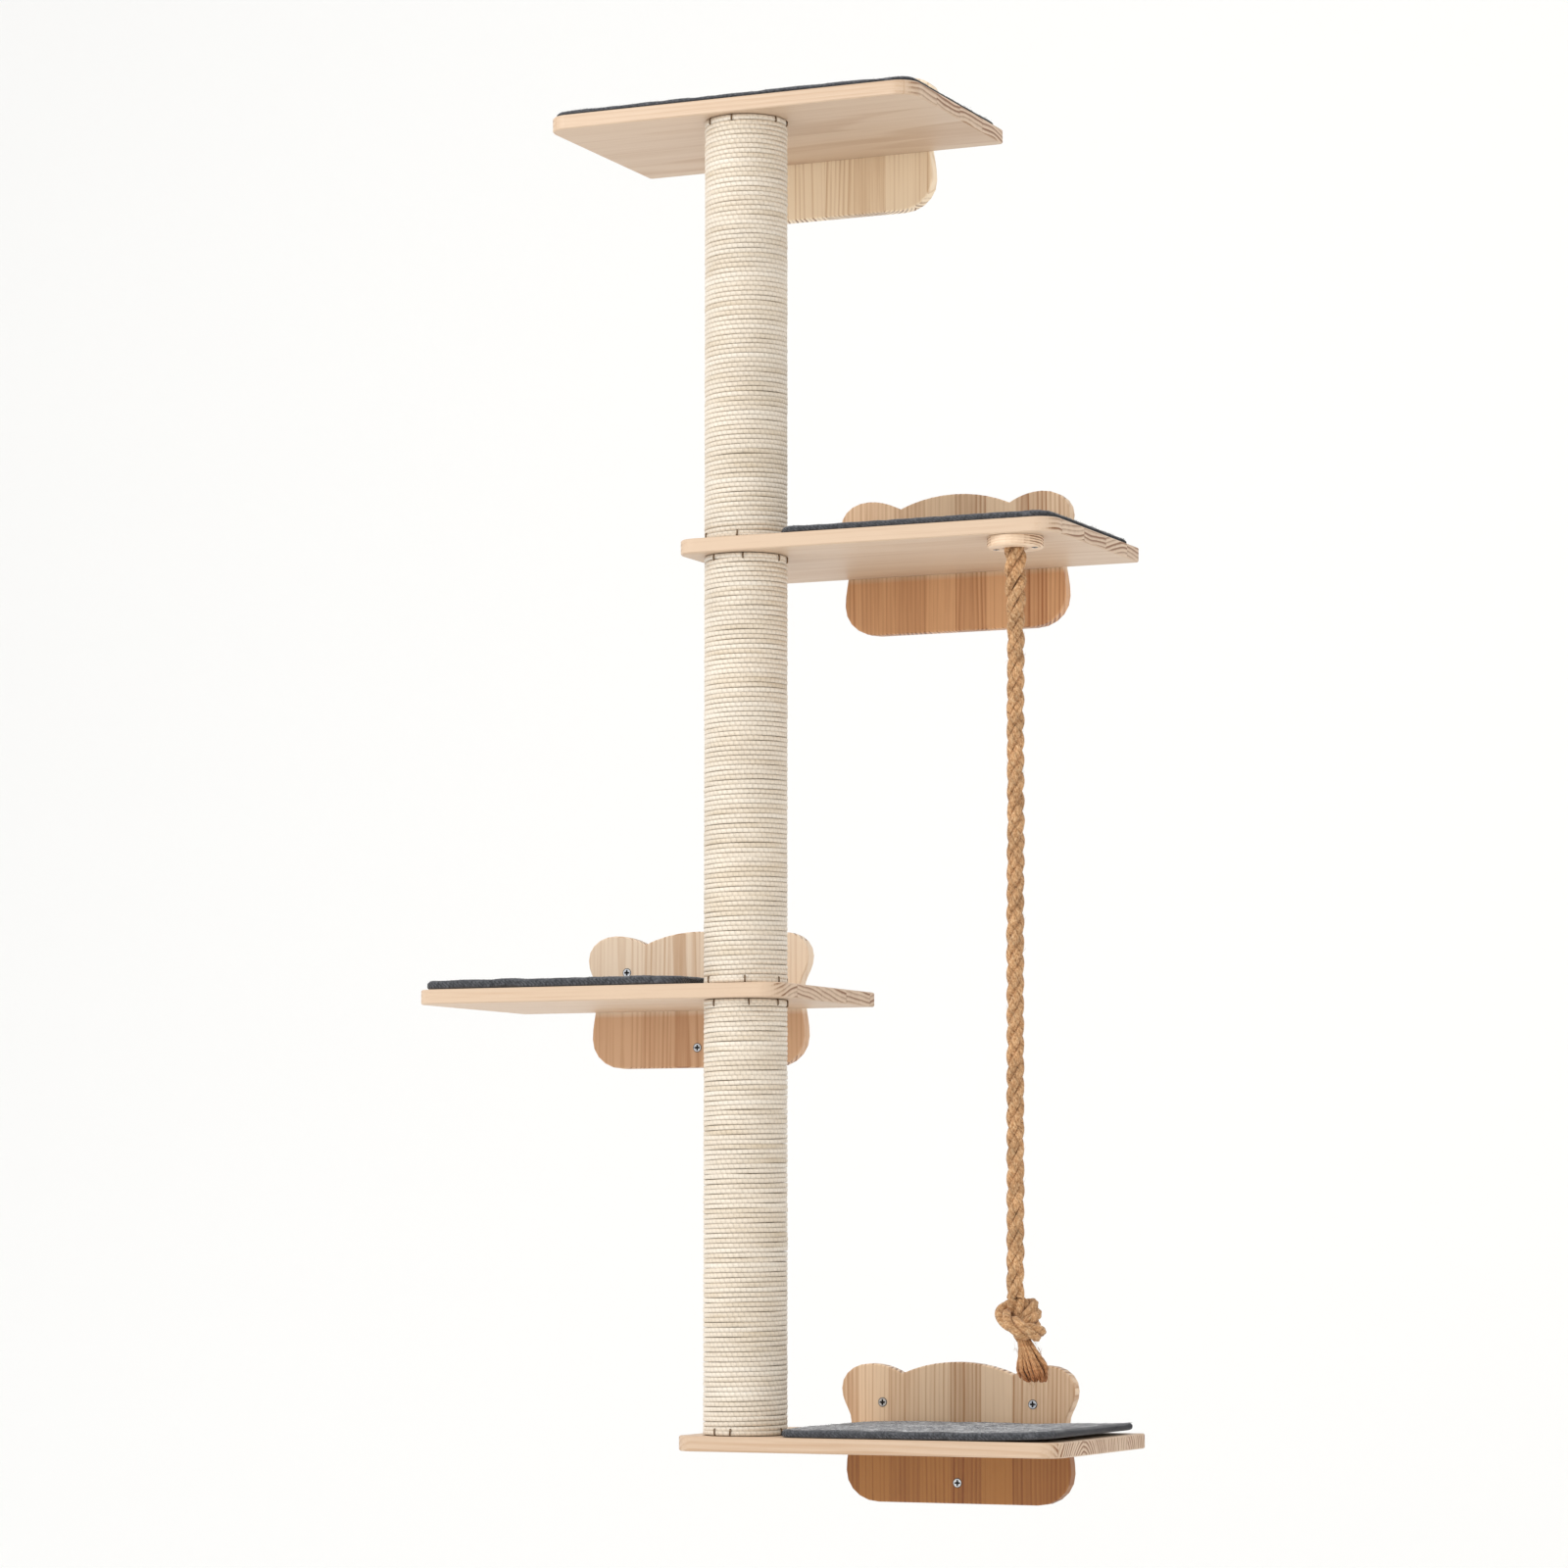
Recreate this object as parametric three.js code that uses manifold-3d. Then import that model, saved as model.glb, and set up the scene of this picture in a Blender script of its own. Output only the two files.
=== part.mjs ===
// A wall-mounted cat tree: four pine shelves on one line of sisal-wound posts, each shelf held to the
// wall by a plate cut as a bear's head, with a pad on every shelf and a jute rope below the upper one.
// Millimetres, +Z up. The wall is the plane y = 0 and the shelves reach out towards -Y. The origin is
// on the back of the lowest wall plate, at its middle, level with the top of the lowest shelf.
import * as THREE from 'three';
import { mergeVertices } from 'three/addons/utils/BufferGeometryUtils.js';
import Module from 'manifold-3d';

const wasm = await Module();
wasm.setup();

// ---------------------------------------------------------------- driving dimensions
const GAP = 0.3;                    // clearance between pieces that touch

const SHELF_WIDTH = 410;
const SHELF_DEPTH = 250;
const SHELF_THICKNESS = 15;
const SHELF_PITCH = 450;            // top of one shelf to the top of the next
const SHELF_FRONT_RADIUS = 22;
const SHELF_BACK_RADIUS = 4;
const WOOD_EDGE = 1.2;              // rounding on the edges of shelves and plates

const POST_FROM_FRONT = 50.5;       // post axis to the front edge of a shelf
const POST_FROM_END = 57.5;         // post axis to the end of a shelf that reaches sideways
const CORE_DIAMETER = 75;
const CORE_WALL = 3;
const SISAL_DIAMETER = 5;           // the rope wound on the core
const PLUG_THICKNESS = 20;

const THREAD_DIAMETER = 8;
const INSERT_DIAMETER = 12;
const INSERT_LENGTH = 15;
const BOLT_HEAD_DIAMETER = 20;
const BOLT_HEAD_HEIGHT = 3;
const BOLT_SOCKET = 5;              // across the flats of the bolt's hexagon socket
const BOLT_SOCKET_DEPTH = 2;

const PLATE_THICKNESS = 15;
const PLATE_EAR_REACH = 129;        // from the plate's middle to the outside of an ear
const PLATE_EAR_SIDE = 41;          // height of the ear's widest point above the shelf top
const PLATE_EAR_PEAK = 97;          // from the middle to the highest point of an ear
const PLATE_EAR_TOP = 66.5;
const PLATE_NOTCH = 61.5;           // from the middle to the notch between ear and crown
const PLATE_NOTCH_TOP = 56.5;
const PLATE_CROWN_TOP = 69;
const PLATE_WAIST = 118.5;          // half width where the plate is narrowest
const PLATE_WAIST_HEIGHT = 7;
const PLATE_FOOT_REACH = 124;       // half width of the lower part
const PLATE_FOOT_SIDE = -43;
const PLATE_BOTTOM = -75;
const PLATE_BOTTOM_HALF = 88;       // half length of the straight bottom edge

const WALL_SCREW = { shank: 4.8, head: 9.6, headHeight: 2.4, length: 45 };
const WALL_SCREW_SPREAD = 83;       // from the middle to a screw through an ear
const WALL_SCREW_EAR_HEIGHT = 27;
const WALL_SCREW_FOOT_HEIGHT = -54;
const SHELF_SCREW = { shank: 4, head: 8, headHeight: 2.2, length: 50 };
const SHELF_SCREW_SPREAD = 70;

const PAD_THICKNESS = 8;
const PAD_RADIUS = 18;
const PAD_EDGE = 2;                 // rounding on a pad's edges
const PAD_INSET_FRONT = 4;
const PAD_INSET_BACK = 6;
const PAD_INSET_END = 7;
const PAD_FROM_POST = 12;

const ROPE_DIAMETER = 18;
const ROPE_FROM_FRONT = 31;         // rope axis to the front edge of the shelf it hangs from
const ROPE_FROM_END = 51;
const ROPE_BORE_CLEARANCE = 0.4;
const NECK_LENGTH = 40;             // between the rope's two bending points
const DISC_DIAMETER = 56;
const DISC_THICKNESS = 11;
const ROPE_LEAN_LIMIT = Math.PI / 4; // the disc's flared mouth lets the rope lean this far
const ROPE_LEAN_CLEARANCE = 0.47;
const DISC_SCREW = { shank: 3.2, head: 6.4, headHeight: 1.8, length: 19 };
const DISC_SCREW_SPREAD = 20.5;
const KNOT_HEIGHT = 42;
// The knot's two lobes: their middles from the rope's axis and the knot's mid-height, radii and tilt.
const KNOT_LOBES = [
  { x: -7, z: -0.5, radii: [15.5, 17, 21], tilt: -28 },
  { x: 16.5, z: 1.5, radii: [14, 15, 15], tilt: 0 },
];
const TASSEL_LENGTH = 48;
const TASSEL_ASIDE = 19;            // the loose ends hang this far to the side of the rope's axis
const TASSEL_LEAN = -4;             // degrees
const TASSEL_NECK = { radius: 8, bulge: 8.5, height: 6 };
const TASSEL_WIDEST = { radius: 17, height: 17 };
const TASSEL_CURL = { radius: 16, height: 9 };
const TASSEL_END_RADIUS = 10;
const TASSEL_IN_KNOT = 9;           // how far the tassel's top reaches up beside the left lobe

const SCREW_RIM = 0.3;              // the straight rim of a countersunk head
const SCREW_CROWN = 0.6;            // the head's middle stands this much proud of its rim
const CROSS_LENGTH = 0.52;          // the cross recess, as shares of the head's diameter
const CROSS_WIDTH = 0.12;
const BOLT_HEAD_EDGE = 0.8;
const DISC_EDGE = 1.5;
const PILOT_EXTRA = 1;              // a pilot hole goes on past its screw's point
const THREAD_SHORT_OF_END = 1;      // a bolt or stud stops this far short of its insert's end
const CUT_PAST = 2;                 // a cutting solid runs this far past the face it cuts
const BALL_INSET = 0.05;            // keeps the rope's top ball inside the rope's own width

// Sides of the round pieces, and steps in a curve of an outline.
const SEGMENTS = {
  core: 28, sisal: 40, plug: 24, insert: 12, hole: 12, throughHole: 20, recess: 24, screw: 10,
  rope: 12, ball: [12, 8], ropeTop: [10, 8], tassel: 16,
  shelfCorner: 6, plateCurve: 5, padCorner: 4, ropeQuarter: 4,
};

// ---------------------------------------------------------------- derived places
const LEVELS = ['bottom', 'lower', 'upper', 'top'];
const SISAL_OUTER_RADIUS = CORE_DIAMETER / 2 + SISAL_DIAMETER;
const REACH = SHELF_WIDTH / 2 - POST_FROM_END;      // post axis to the middle of a sideways shelf
const POST_X = -REACH;
const SHELF_BACK = -PLATE_THICKNESS - GAP;
const SHELF_FRONT = SHELF_BACK - SHELF_DEPTH;
const POST_Y = SHELF_FRONT + POST_FROM_FRONT;
const SHELF_MIDDLE = { bottom: POST_X + REACH, lower: POST_X - REACH, upper: POST_X + REACH, top: POST_X };
const shelfTop = (level) => LEVELS.indexOf(level) * SHELF_PITCH;

const ROPE_X = SHELF_MIDDLE.upper + SHELF_WIDTH / 2 - ROPE_FROM_END;
const ROPE_Y = SHELF_FRONT + ROPE_FROM_FRONT;
const DISC_TOP = shelfTop('upper') - SHELF_THICKNESS - GAP;
const ROPE_EXIT = DISC_TOP - DISC_THICKNESS;

// ---------------------------------------------------------------- materials
const finish = (color, roughness, metalness = 0) =>
  new THREE.MeshStandardMaterial({ color, roughness, metalness });
const PINE = finish('#e3c9a4', 0.6);
const PLATE_PINE = finish('#d3ae80', 0.62);
const SISAL = finish('#dccfb2', 0.95);
const CARDBOARD = finish('#a98c66', 0.9);
const PAD_FABRIC = finish('#47494d', 0.97);
const JUTE = finish('#a37c50', 0.95);
const ZINC = finish('#c6c8cb', 0.35, 1);

// ---------------------------------------------------------------- shape helpers
const model = new THREE.Group();

function solidOf(geometry) {
  const bare = geometry.index ? geometry.toNonIndexed() : geometry.clone();
  bare.deleteAttribute('normal');
  bare.deleteAttribute('uv');
  const merged = mergeVertices(bare, 1e-4);
  return new wasm.Manifold(new wasm.Mesh({
    numProp: 3,
    vertProperties: new Float32Array(merged.attributes.position.array),
    triVerts: new Uint32Array(merged.index.array),
  }));
}

function geometryOf(solid) {
  const { vertProperties, triVerts } = solid.getMesh();
  const geometry = new THREE.BufferGeometry();
  geometry.setAttribute('position', new THREE.BufferAttribute(new Float32Array(vertProperties), 3));
  geometry.setIndex(new THREE.BufferAttribute(new Uint32Array(triVerts), 1));
  geometry.computeVertexNormals();
  return geometry;
}

function add(name, solid, material, [x, y, z] = [0, 0, 0], turnX = 0) {
  const mesh = new THREE.Mesh(geometryOf(solid), material);
  mesh.name = name;
  mesh.position.set(x, y, z);
  mesh.rotation.x = turnX;
  model.add(mesh);
}

// A solid of revolution about Z; its profile is [radius, height] pairs from the bottom up.
function turned(profile, segments) {
  const points = profile.map(([radius, height]) => new THREE.Vector2(radius, height));
  return solidOf(new THREE.LatheGeometry(points, segments).rotateX(Math.PI / 2));
}

const rod = (radius, low, high, segments) =>
  turned([[0, low], [radius, low], [radius, high], [0, high]], segments);
const tube = (inner, outer, low, high, segments) =>
  turned([[inner, low], [outer, low], [outer, high], [inner, high], [inner, low]], segments);

function moved(solid, x, y, z) {
  return solid.translate([x, y, z]);
}

// A flat board whose outline is drawn in X and Y, its edges rounded, lying from z = 0 upwards.
function board(outline, thickness, edge, curveSegments) {
  return solidOf(new THREE.ExtrudeGeometry(outline, {
    depth: thickness - 2 * edge, steps: 1, curveSegments,
    bevelEnabled: true, bevelThickness: edge, bevelSize: edge, bevelOffset: -edge, bevelSegments: 1,
  }).translate(0, 0, edge));
}

function roundedRectangle(left, right, front, back, frontRadius, backRadius) {
  const shape = new THREE.Shape();
  shape.moveTo(left + frontRadius, front);
  shape.lineTo(right - frontRadius, front);
  shape.absarc(right - frontRadius, front + frontRadius, frontRadius, -Math.PI / 2, 0);
  shape.lineTo(right, back - backRadius);
  shape.absarc(right - backRadius, back - backRadius, backRadius, 0, Math.PI / 2);
  shape.lineTo(left + backRadius, back);
  shape.absarc(left + backRadius, back - backRadius, backRadius, Math.PI / 2, Math.PI);
  shape.lineTo(left, front + frontRadius);
  shape.absarc(left + frontRadius, front + frontRadius, frontRadius, Math.PI, 1.5 * Math.PI);
  return shape;
}

// ---------------------------------------------------------------- screws
// A countersunk screw along Z with its head up and flush with z = 0, and the hole it needs.
function screw({ shank, head, headHeight, length }) {
  const body = turned([[0, -length], [shank / 2, -length + shank], [shank / 2, -headHeight],
    [head / 2, -SCREW_RIM], [0, SCREW_CROWN]], SEGMENTS.screw);
  const slot = (turn) => solidOf(new THREE.BoxGeometry(head * CROSS_LENGTH, head * CROSS_WIDTH, headHeight)
    .rotateZ(turn).translate(0, 0, SCREW_CROWN));
  return body.subtract(slot(Math.PI / 4)).subtract(slot(-Math.PI / 4));
}

function screwHole({ shank, head, headHeight, length }) {
  const [shankRadius, headRadius] = [shank / 2 + GAP, head / 2 + GAP];
  return turned([[0, -length - GAP], [shankRadius, -length - GAP], [shankRadius, -headHeight - GAP],
    [headRadius, -SCREW_RIM], [headRadius, CUT_PAST], [0, CUT_PAST]], SEGMENTS.hole);
}

// ---------------------------------------------------------------- wall plates
// The plate's right half from its bottom edge up to the middle of the crown. Each Bezier curve is its
// two handles and then its end, across and up from the plate's middle.
const PLATE_CURVES = [
  [108, PLATE_BOTTOM, PLATE_FOOT_REACH, -61, PLATE_FOOT_REACH, PLATE_FOOT_SIDE],
  [PLATE_FOOT_REACH, -25, PLATE_WAIST, -12, PLATE_WAIST, PLATE_WAIST_HEIGHT],
  [PLATE_WAIST, 19, PLATE_EAR_REACH, 26, PLATE_EAR_REACH, PLATE_EAR_SIDE],
  [PLATE_EAR_REACH, 56, 115, PLATE_EAR_TOP, PLATE_EAR_PEAK, PLATE_EAR_TOP],
  [83, PLATE_EAR_TOP, 71, 62, PLATE_NOTCH, PLATE_NOTCH_TOP],
  [42, 65, 21, PLATE_CROWN_TOP, 0, PLATE_CROWN_TOP],
];

function plateOutline() {
  const shape = new THREE.Shape();
  const side = (way) => PLATE_CURVES.map((curve) =>
    curve.map((value, place) => (place % 2 === 0 ? way * value : value)));
  shape.moveTo(PLATE_BOTTOM_HALF, PLATE_BOTTOM);
  for (const curve of side(1)) shape.bezierCurveTo(...curve);
  const left = side(-1).reverse();
  left.forEach(([x1, z1, x2, z2], i) => {
    const [endX, endZ] = i + 1 < left.length ? left[i + 1].slice(4) : [-PLATE_BOTTOM_HALF, PLATE_BOTTOM];
    shape.bezierCurveTo(x2, z2, x1, z1, endX, endZ);
  });
  shape.lineTo(PLATE_BOTTOM_HALF, PLATE_BOTTOM);
  return shape;
}

function wallScrewPlaces(level) {
  const ears = [
    ['left', -WALL_SCREW_SPREAD, WALL_SCREW_EAR_HEIGHT],
    ['right', WALL_SCREW_SPREAD, WALL_SCREW_EAR_HEIGHT],
  ];
  const foot = [['foot', 0, WALL_SCREW_FOOT_HEIGHT]];
  return level === 'bottom' || level === 'lower' ? [...ears, ...foot] : ears;
}

const shelfScrewPlaces = [['left', -SHELF_SCREW_SPREAD], ['right', SHELF_SCREW_SPREAD]];
const FACE_FRONT = Math.PI / 2;     // turns a piece drawn with its top up so that it faces -Y
const FACE_BACK = -Math.PI / 2;

function addWallPlate(level) {
  const [x, z] = [SHELF_MIDDLE[level], shelfTop(level)];
  // The board is drawn lying down with its front up, then stood against the wall.
  let plate = board(plateOutline(), PLATE_THICKNESS, WOOD_EDGE, SEGMENTS.plateCurve);
  for (const [, across, up] of wallScrewPlaces(level)) {
    plate = plate.subtract(moved(screwHole(WALL_SCREW), across, up, PLATE_THICKNESS));
  }
  for (const [, across] of shelfScrewPlaces) {
    const hole = screwHole(SHELF_SCREW).rotate([180, 0, 0]);
    plate = plate.subtract(moved(hole, across, -SHELF_THICKNESS / 2, 0));
  }
  add(`${level}_wall_plate`, plate, PLATE_PINE, [x, 0, z], FACE_FRONT);
  for (const [side, across, up] of wallScrewPlaces(level)) {
    const place = [x + across, -PLATE_THICKNESS, z + up];
    add(`${level}_wall_screw_${side}`, screw(WALL_SCREW), ZINC, place, FACE_FRONT);
  }
  for (const [side, across] of shelfScrewPlaces) {
    const place = [x + across, 0, z - SHELF_THICKNESS / 2];
    add(`${level}_shelf_screw_${side}`, screw(SHELF_SCREW), ZINC, place, FACE_BACK);
  }
}

// ---------------------------------------------------------------- shelves
function addShelf(level) {
  const middle = SHELF_MIDDLE[level];
  const [left, right] = [middle - SHELF_WIDTH / 2, middle + SHELF_WIDTH / 2];
  const radii = [SHELF_FRONT_RADIUS, SHELF_BACK_RADIUS];
  const outline = roundedRectangle(left, right, SHELF_FRONT, SHELF_BACK, ...radii);
  const underside = shelfTop(level) - SHELF_THICKNESS;
  let shelf = moved(board(outline, SHELF_THICKNESS, WOOD_EDGE, SEGMENTS.shelfCorner), 0, 0, underside);
  const [holeLow, holeHigh] = [underside - CUT_PAST, shelfTop(level) + CUT_PAST];
  const throughHole = rod(THREAD_DIAMETER / 2 + GAP, holeLow, holeHigh, SEGMENTS.throughHole);
  shelf = shelf.subtract(moved(throughHole, POST_X, POST_Y, 0));
  const recess = rod(BOLT_HEAD_DIAMETER / 2 + GAP, 0, BOLT_HEAD_HEIGHT + 2 * GAP, SEGMENTS.recess);
  if (level === 'top') {
    shelf = shelf.subtract(moved(recess, POST_X, POST_Y, shelfTop(level) - BOLT_HEAD_HEIGHT - GAP));
  }
  if (level === 'bottom') {
    shelf = shelf.subtract(moved(recess, POST_X, POST_Y, underside - GAP));
  }
  const pilotDepth = SHELF_SCREW.length - PLATE_THICKNESS + PILOT_EXTRA;
  for (const [, across] of shelfScrewPlaces) {
    const pilot = rod(SHELF_SCREW.shank / 2 + GAP, -CUT_PAST, pilotDepth, SEGMENTS.hole).rotate([90, 0, 0]);
    shelf = shelf.subtract(moved(pilot, middle + across, SHELF_BACK, shelfTop(level) - SHELF_THICKNESS / 2));
  }
  if (level === 'upper') {
    const pilotHeight = DISC_SCREW.length - DISC_THICKNESS + PILOT_EXTRA;
    for (const way of [-1, 1]) {
      const pilot = rod(DISC_SCREW.shank / 2 + GAP, -CUT_PAST, pilotHeight, SEGMENTS.hole);
      shelf = shelf.subtract(moved(pilot, ROPE_X + way * DISC_SCREW_SPREAD, ROPE_Y, underside));
    }
  }
  add(`${level}_shelf`, shelf, PINE);
}

// ---------------------------------------------------------------- pads
function addPad(level) {
  const middle = SHELF_MIDDLE[level];
  let [left, right] = [middle - SHELF_WIDTH / 2 + PAD_INSET_END, middle + SHELF_WIDTH / 2 - PAD_INSET_END];
  const besidePost = SISAL_OUTER_RADIUS + PAD_FROM_POST;
  if (level === 'top') {
    left -= PAD_INSET_END - PAD_INSET_FRONT;
    right += PAD_INSET_END - PAD_INSET_FRONT;
  } else if (middle > POST_X) {
    left = POST_X + besidePost;
  } else {
    right = POST_X - besidePost;
  }
  const outline = roundedRectangle(left, right, SHELF_FRONT + PAD_INSET_FRONT, SHELF_BACK - PAD_INSET_BACK,
    PAD_RADIUS, PAD_RADIUS);
  const pad = board(outline, PAD_THICKNESS, PAD_EDGE, SEGMENTS.padCorner);
  add(`${level}_pad`, moved(pad, 0, 0, shelfTop(level) + GAP), PAD_FABRIC);
}

// ---------------------------------------------------------------- posts
// Each post stands between two shelves: a core tube, the sisal wound on it, and a plug with a threaded
// insert in each end.
function addPost(name, levelBelow) {
  const low = shelfTop(levelBelow) + GAP;
  const high = shelfTop(levelBelow) + SHELF_PITCH - SHELF_THICKNESS - GAP;
  const coreRadius = CORE_DIAMETER / 2;
  const onAxis = [POST_X, POST_Y, 0];
  const core = tube(coreRadius - CORE_WALL, coreRadius, low, high, SEGMENTS.core);
  const sisal = tube(coreRadius + GAP, SISAL_OUTER_RADIUS, low, high, SEGMENTS.sisal);
  add(`${name}_post_core`, core, CARDBOARD, onAxis);
  add(`${name}_post_sisal`, sisal, SISAL, onAxis);
  const ends = [['lower', low, low + PLUG_THICKNESS], ['upper', high - PLUG_THICKNESS, high]];
  for (const [end, plugLow, plugHigh] of ends) {
    const plugRadius = coreRadius - CORE_WALL - GAP;
    const plug = tube(INSERT_DIAMETER / 2 + GAP, plugRadius, plugLow, plugHigh, SEGMENTS.plug);
    add(`${name}_post_${end}_plug`, plug, PINE, onAxis);
    const [insertLow, insertHigh] = end === 'lower' ? [plugLow, plugLow + INSERT_LENGTH]
      : [plugHigh - INSERT_LENGTH, plugHigh];
    const [inner, outer] = [THREAD_DIAMETER / 2 + GAP, INSERT_DIAMETER / 2];
    const insert = tube(inner, outer, insertLow, insertHigh, SEGMENTS.insert);
    add(`${name}_post_${end}_insert`, insert, ZINC, onAxis);
  }
}

function addStud(level) {
  const half = SHELF_THICKNESS / 2 + INSERT_LENGTH - THREAD_SHORT_OF_END;
  const middle = shelfTop(level) - SHELF_THICKNESS / 2;
  const stud = rod(THREAD_DIAMETER / 2, middle - half, middle + half, SEGMENTS.insert);
  add(`${level}_shelf_stud`, stud, ZINC, [POST_X, POST_Y, 0]);
}

// A flat-headed bolt with its head up, level with z = 0, reaching down into the insert of a post.
function shelfBolt() {
  const reach = SHELF_THICKNESS + INSERT_LENGTH - THREAD_SHORT_OF_END;
  const [threadRadius, headRadius] = [THREAD_DIAMETER / 2, BOLT_HEAD_DIAMETER / 2];
  const shape = turned([[0, -reach], [threadRadius, -reach], [threadRadius, -BOLT_HEAD_HEIGHT],
    [headRadius, -BOLT_HEAD_HEIGHT], [headRadius, -BOLT_HEAD_EDGE], [headRadius - BOLT_HEAD_EDGE, 0],
    [0, 0]], SEGMENTS.throughHole);
  const socketRadius = BOLT_SOCKET / Math.sqrt(3);
  return shape.subtract(rod(socketRadius, -BOLT_SOCKET_DEPTH, CUT_PAST, 6));
}

// ---------------------------------------------------------------- hanging rope
// The route that the rope's middle follows below its neck, from the second bending point to the knot.
const ROPE_ROUTE = [
  [154.0, -234.3, 833.7], [154.0, -234.2, 805.0], [153.8, -234.4, 770.0], [153.4, -234.5, 735.0],
  [153.1, -234.4, 695.0], [152.9, -234.1, 650.0], [152.8, -233.9, 605.0], [152.5, -234.0, 560.0],
  [152.1, -234.3, 515.0], [151.9, -234.5, 470.0], [151.8, -234.6, 425.0], [151.6, -234.4, 380.0],
  [151.3, -234.2, 335.0], [151.0, -234.1, 290.0], [150.9, -234.2, 245.0], [150.7, -234.3, 200.0],
  [150.4, -234.3, 165.0], [150.2, -234.3, 137.3],
];
const ROPE_STEPS = 20;

const ball = (radius, widthSegments, heightSegments) =>
  solidOf(new THREE.SphereGeometry(radius, widthSegments, heightSegments).rotateX(Math.PI / 2));

function addRopeDisc() {
  const radius = DISC_DIAMETER / 2;
  const bore = ROPE_DIAMETER / 2 + ROPE_BORE_CLEARANCE;
  const flare = ROPE_DIAMETER / 2 / Math.cos(ROPE_LEAN_LIMIT) + ROPE_LEAN_CLEARANCE;
  let disc = turned([[flare, 0], [radius - DISC_EDGE, 0], [radius, DISC_EDGE], [radius, DISC_THICKNESS],
    [bore, DISC_THICKNESS], [bore, flare - bore], [flare, 0]], SEGMENTS.core);
  for (const way of [-1, 1]) {
    const hole = screwHole(DISC_SCREW).rotate([180, 0, 0]);
    disc = disc.subtract(moved(hole, way * DISC_SCREW_SPREAD, 0, 0));
  }
  add('rope_disc', disc, PINE, [ROPE_X, ROPE_Y, ROPE_EXIT]);
  for (const [side, way] of [['left', -1], ['right', 1]]) {
    const place = [ROPE_X + way * DISC_SCREW_SPREAD, ROPE_Y, ROPE_EXIT];
    add(`rope_disc_screw_${side}`, screw(DISC_SCREW), ZINC, place, Math.PI);
  }
}

function addRope() {
  const radius = ROPE_DIAMETER / 2;
  // Both bending points are balls of the rope's own width, so that neither end fouls its neighbour.
  const straight = rod(radius, -NECK_LENGTH + radius + GAP, 0, SEGMENTS.rope);
  const neck = ball(radius, ...SEGMENTS.ball).add(straight);
  add('rope_neck', neck, JUTE, [ROPE_X, ROPE_Y, ROPE_EXIT]);

  const route = new THREE.CatmullRomCurve3(ROPE_ROUTE.map((point) => new THREE.Vector3(...point)));
  const section = new THREE.Shape().absarc(0, 0, radius, 0, 2 * Math.PI);
  const strand = solidOf(new THREE.ExtrudeGeometry(section, {
    steps: ROPE_STEPS, curveSegments: SEGMENTS.ropeQuarter, extrudePath: route, bevelEnabled: false,
  }));
  const top = moved(ball(radius - BALL_INSET, ...SEGMENTS.ropeTop), ...ROPE_ROUTE[0]);
  add('hanging_rope', strand.add(top), JUTE);

  // The knot is two lobes side by side, and the loose ends hang below the right one.
  const [knotX, knotY, knotTop] = ROPE_ROUTE.at(-1);
  const knotMiddle = knotTop - GAP - KNOT_HEIGHT / 2;
  const [left, right] = KNOT_LOBES.map(({ x, z, radii, tilt }) => {
    const lobe = ball(1, ...SEGMENTS.ball).scale(radii).rotate([0, tilt, 0]);
    return moved(lobe, knotX + x, knotY, knotMiddle + z);
  });
  const above = moved(rod(ROPE_DIAMETER, 0, KNOT_HEIGHT, SEGMENTS.ball[1]), knotX, knotY, knotTop - GAP);
  const knot = left.add(right);
  add('rope_knot', knot.subtract(above), JUTE);

  const tasselTop = knotTop - KNOT_HEIGHT + TASSEL_IN_KNOT;
  const tassel = turned([[0, -TASSEL_LENGTH], [TASSEL_END_RADIUS, -TASSEL_LENGTH],
    [TASSEL_CURL.radius, TASSEL_CURL.height - TASSEL_LENGTH],
    [TASSEL_WIDEST.radius, TASSEL_WIDEST.height - TASSEL_LENGTH],
    [TASSEL_NECK.bulge, -TASSEL_NECK.height], [TASSEL_NECK.radius, 0], [0, 0]], SEGMENTS.tassel);
  const placed = moved(tassel.rotate([0, TASSEL_LEAN, 0]), knotX + TASSEL_ASIDE, knotY, tasselTop);
  add('rope_tassel', placed.subtract(moved(knot, 0, 0, -2 * GAP)), JUTE);
}

// ---------------------------------------------------------------- the whole
for (const level of LEVELS) {
  addShelf(level);
  addPad(level);
  addWallPlate(level);
}
addPost('bottom', 'bottom');
addPost('middle', 'lower');
addPost('top', 'upper');
addStud('lower');
addStud('upper');
add('top_shelf_bolt', shelfBolt(), ZINC, [POST_X, POST_Y, shelfTop('top')]);
add('bottom_shelf_bolt', shelfBolt(), ZINC, [POST_X, POST_Y, -SHELF_THICKNESS], Math.PI);
addRopeDisc();
addRope();

export default model;
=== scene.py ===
"""Looks of a wall-mounted cat tree: pine shelves and wall plates, sisal posts, pads and a jute rope."""
import math

import bmesh
import bpy
import numpy as np
from mathutils import Matrix, Vector, noise


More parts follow.
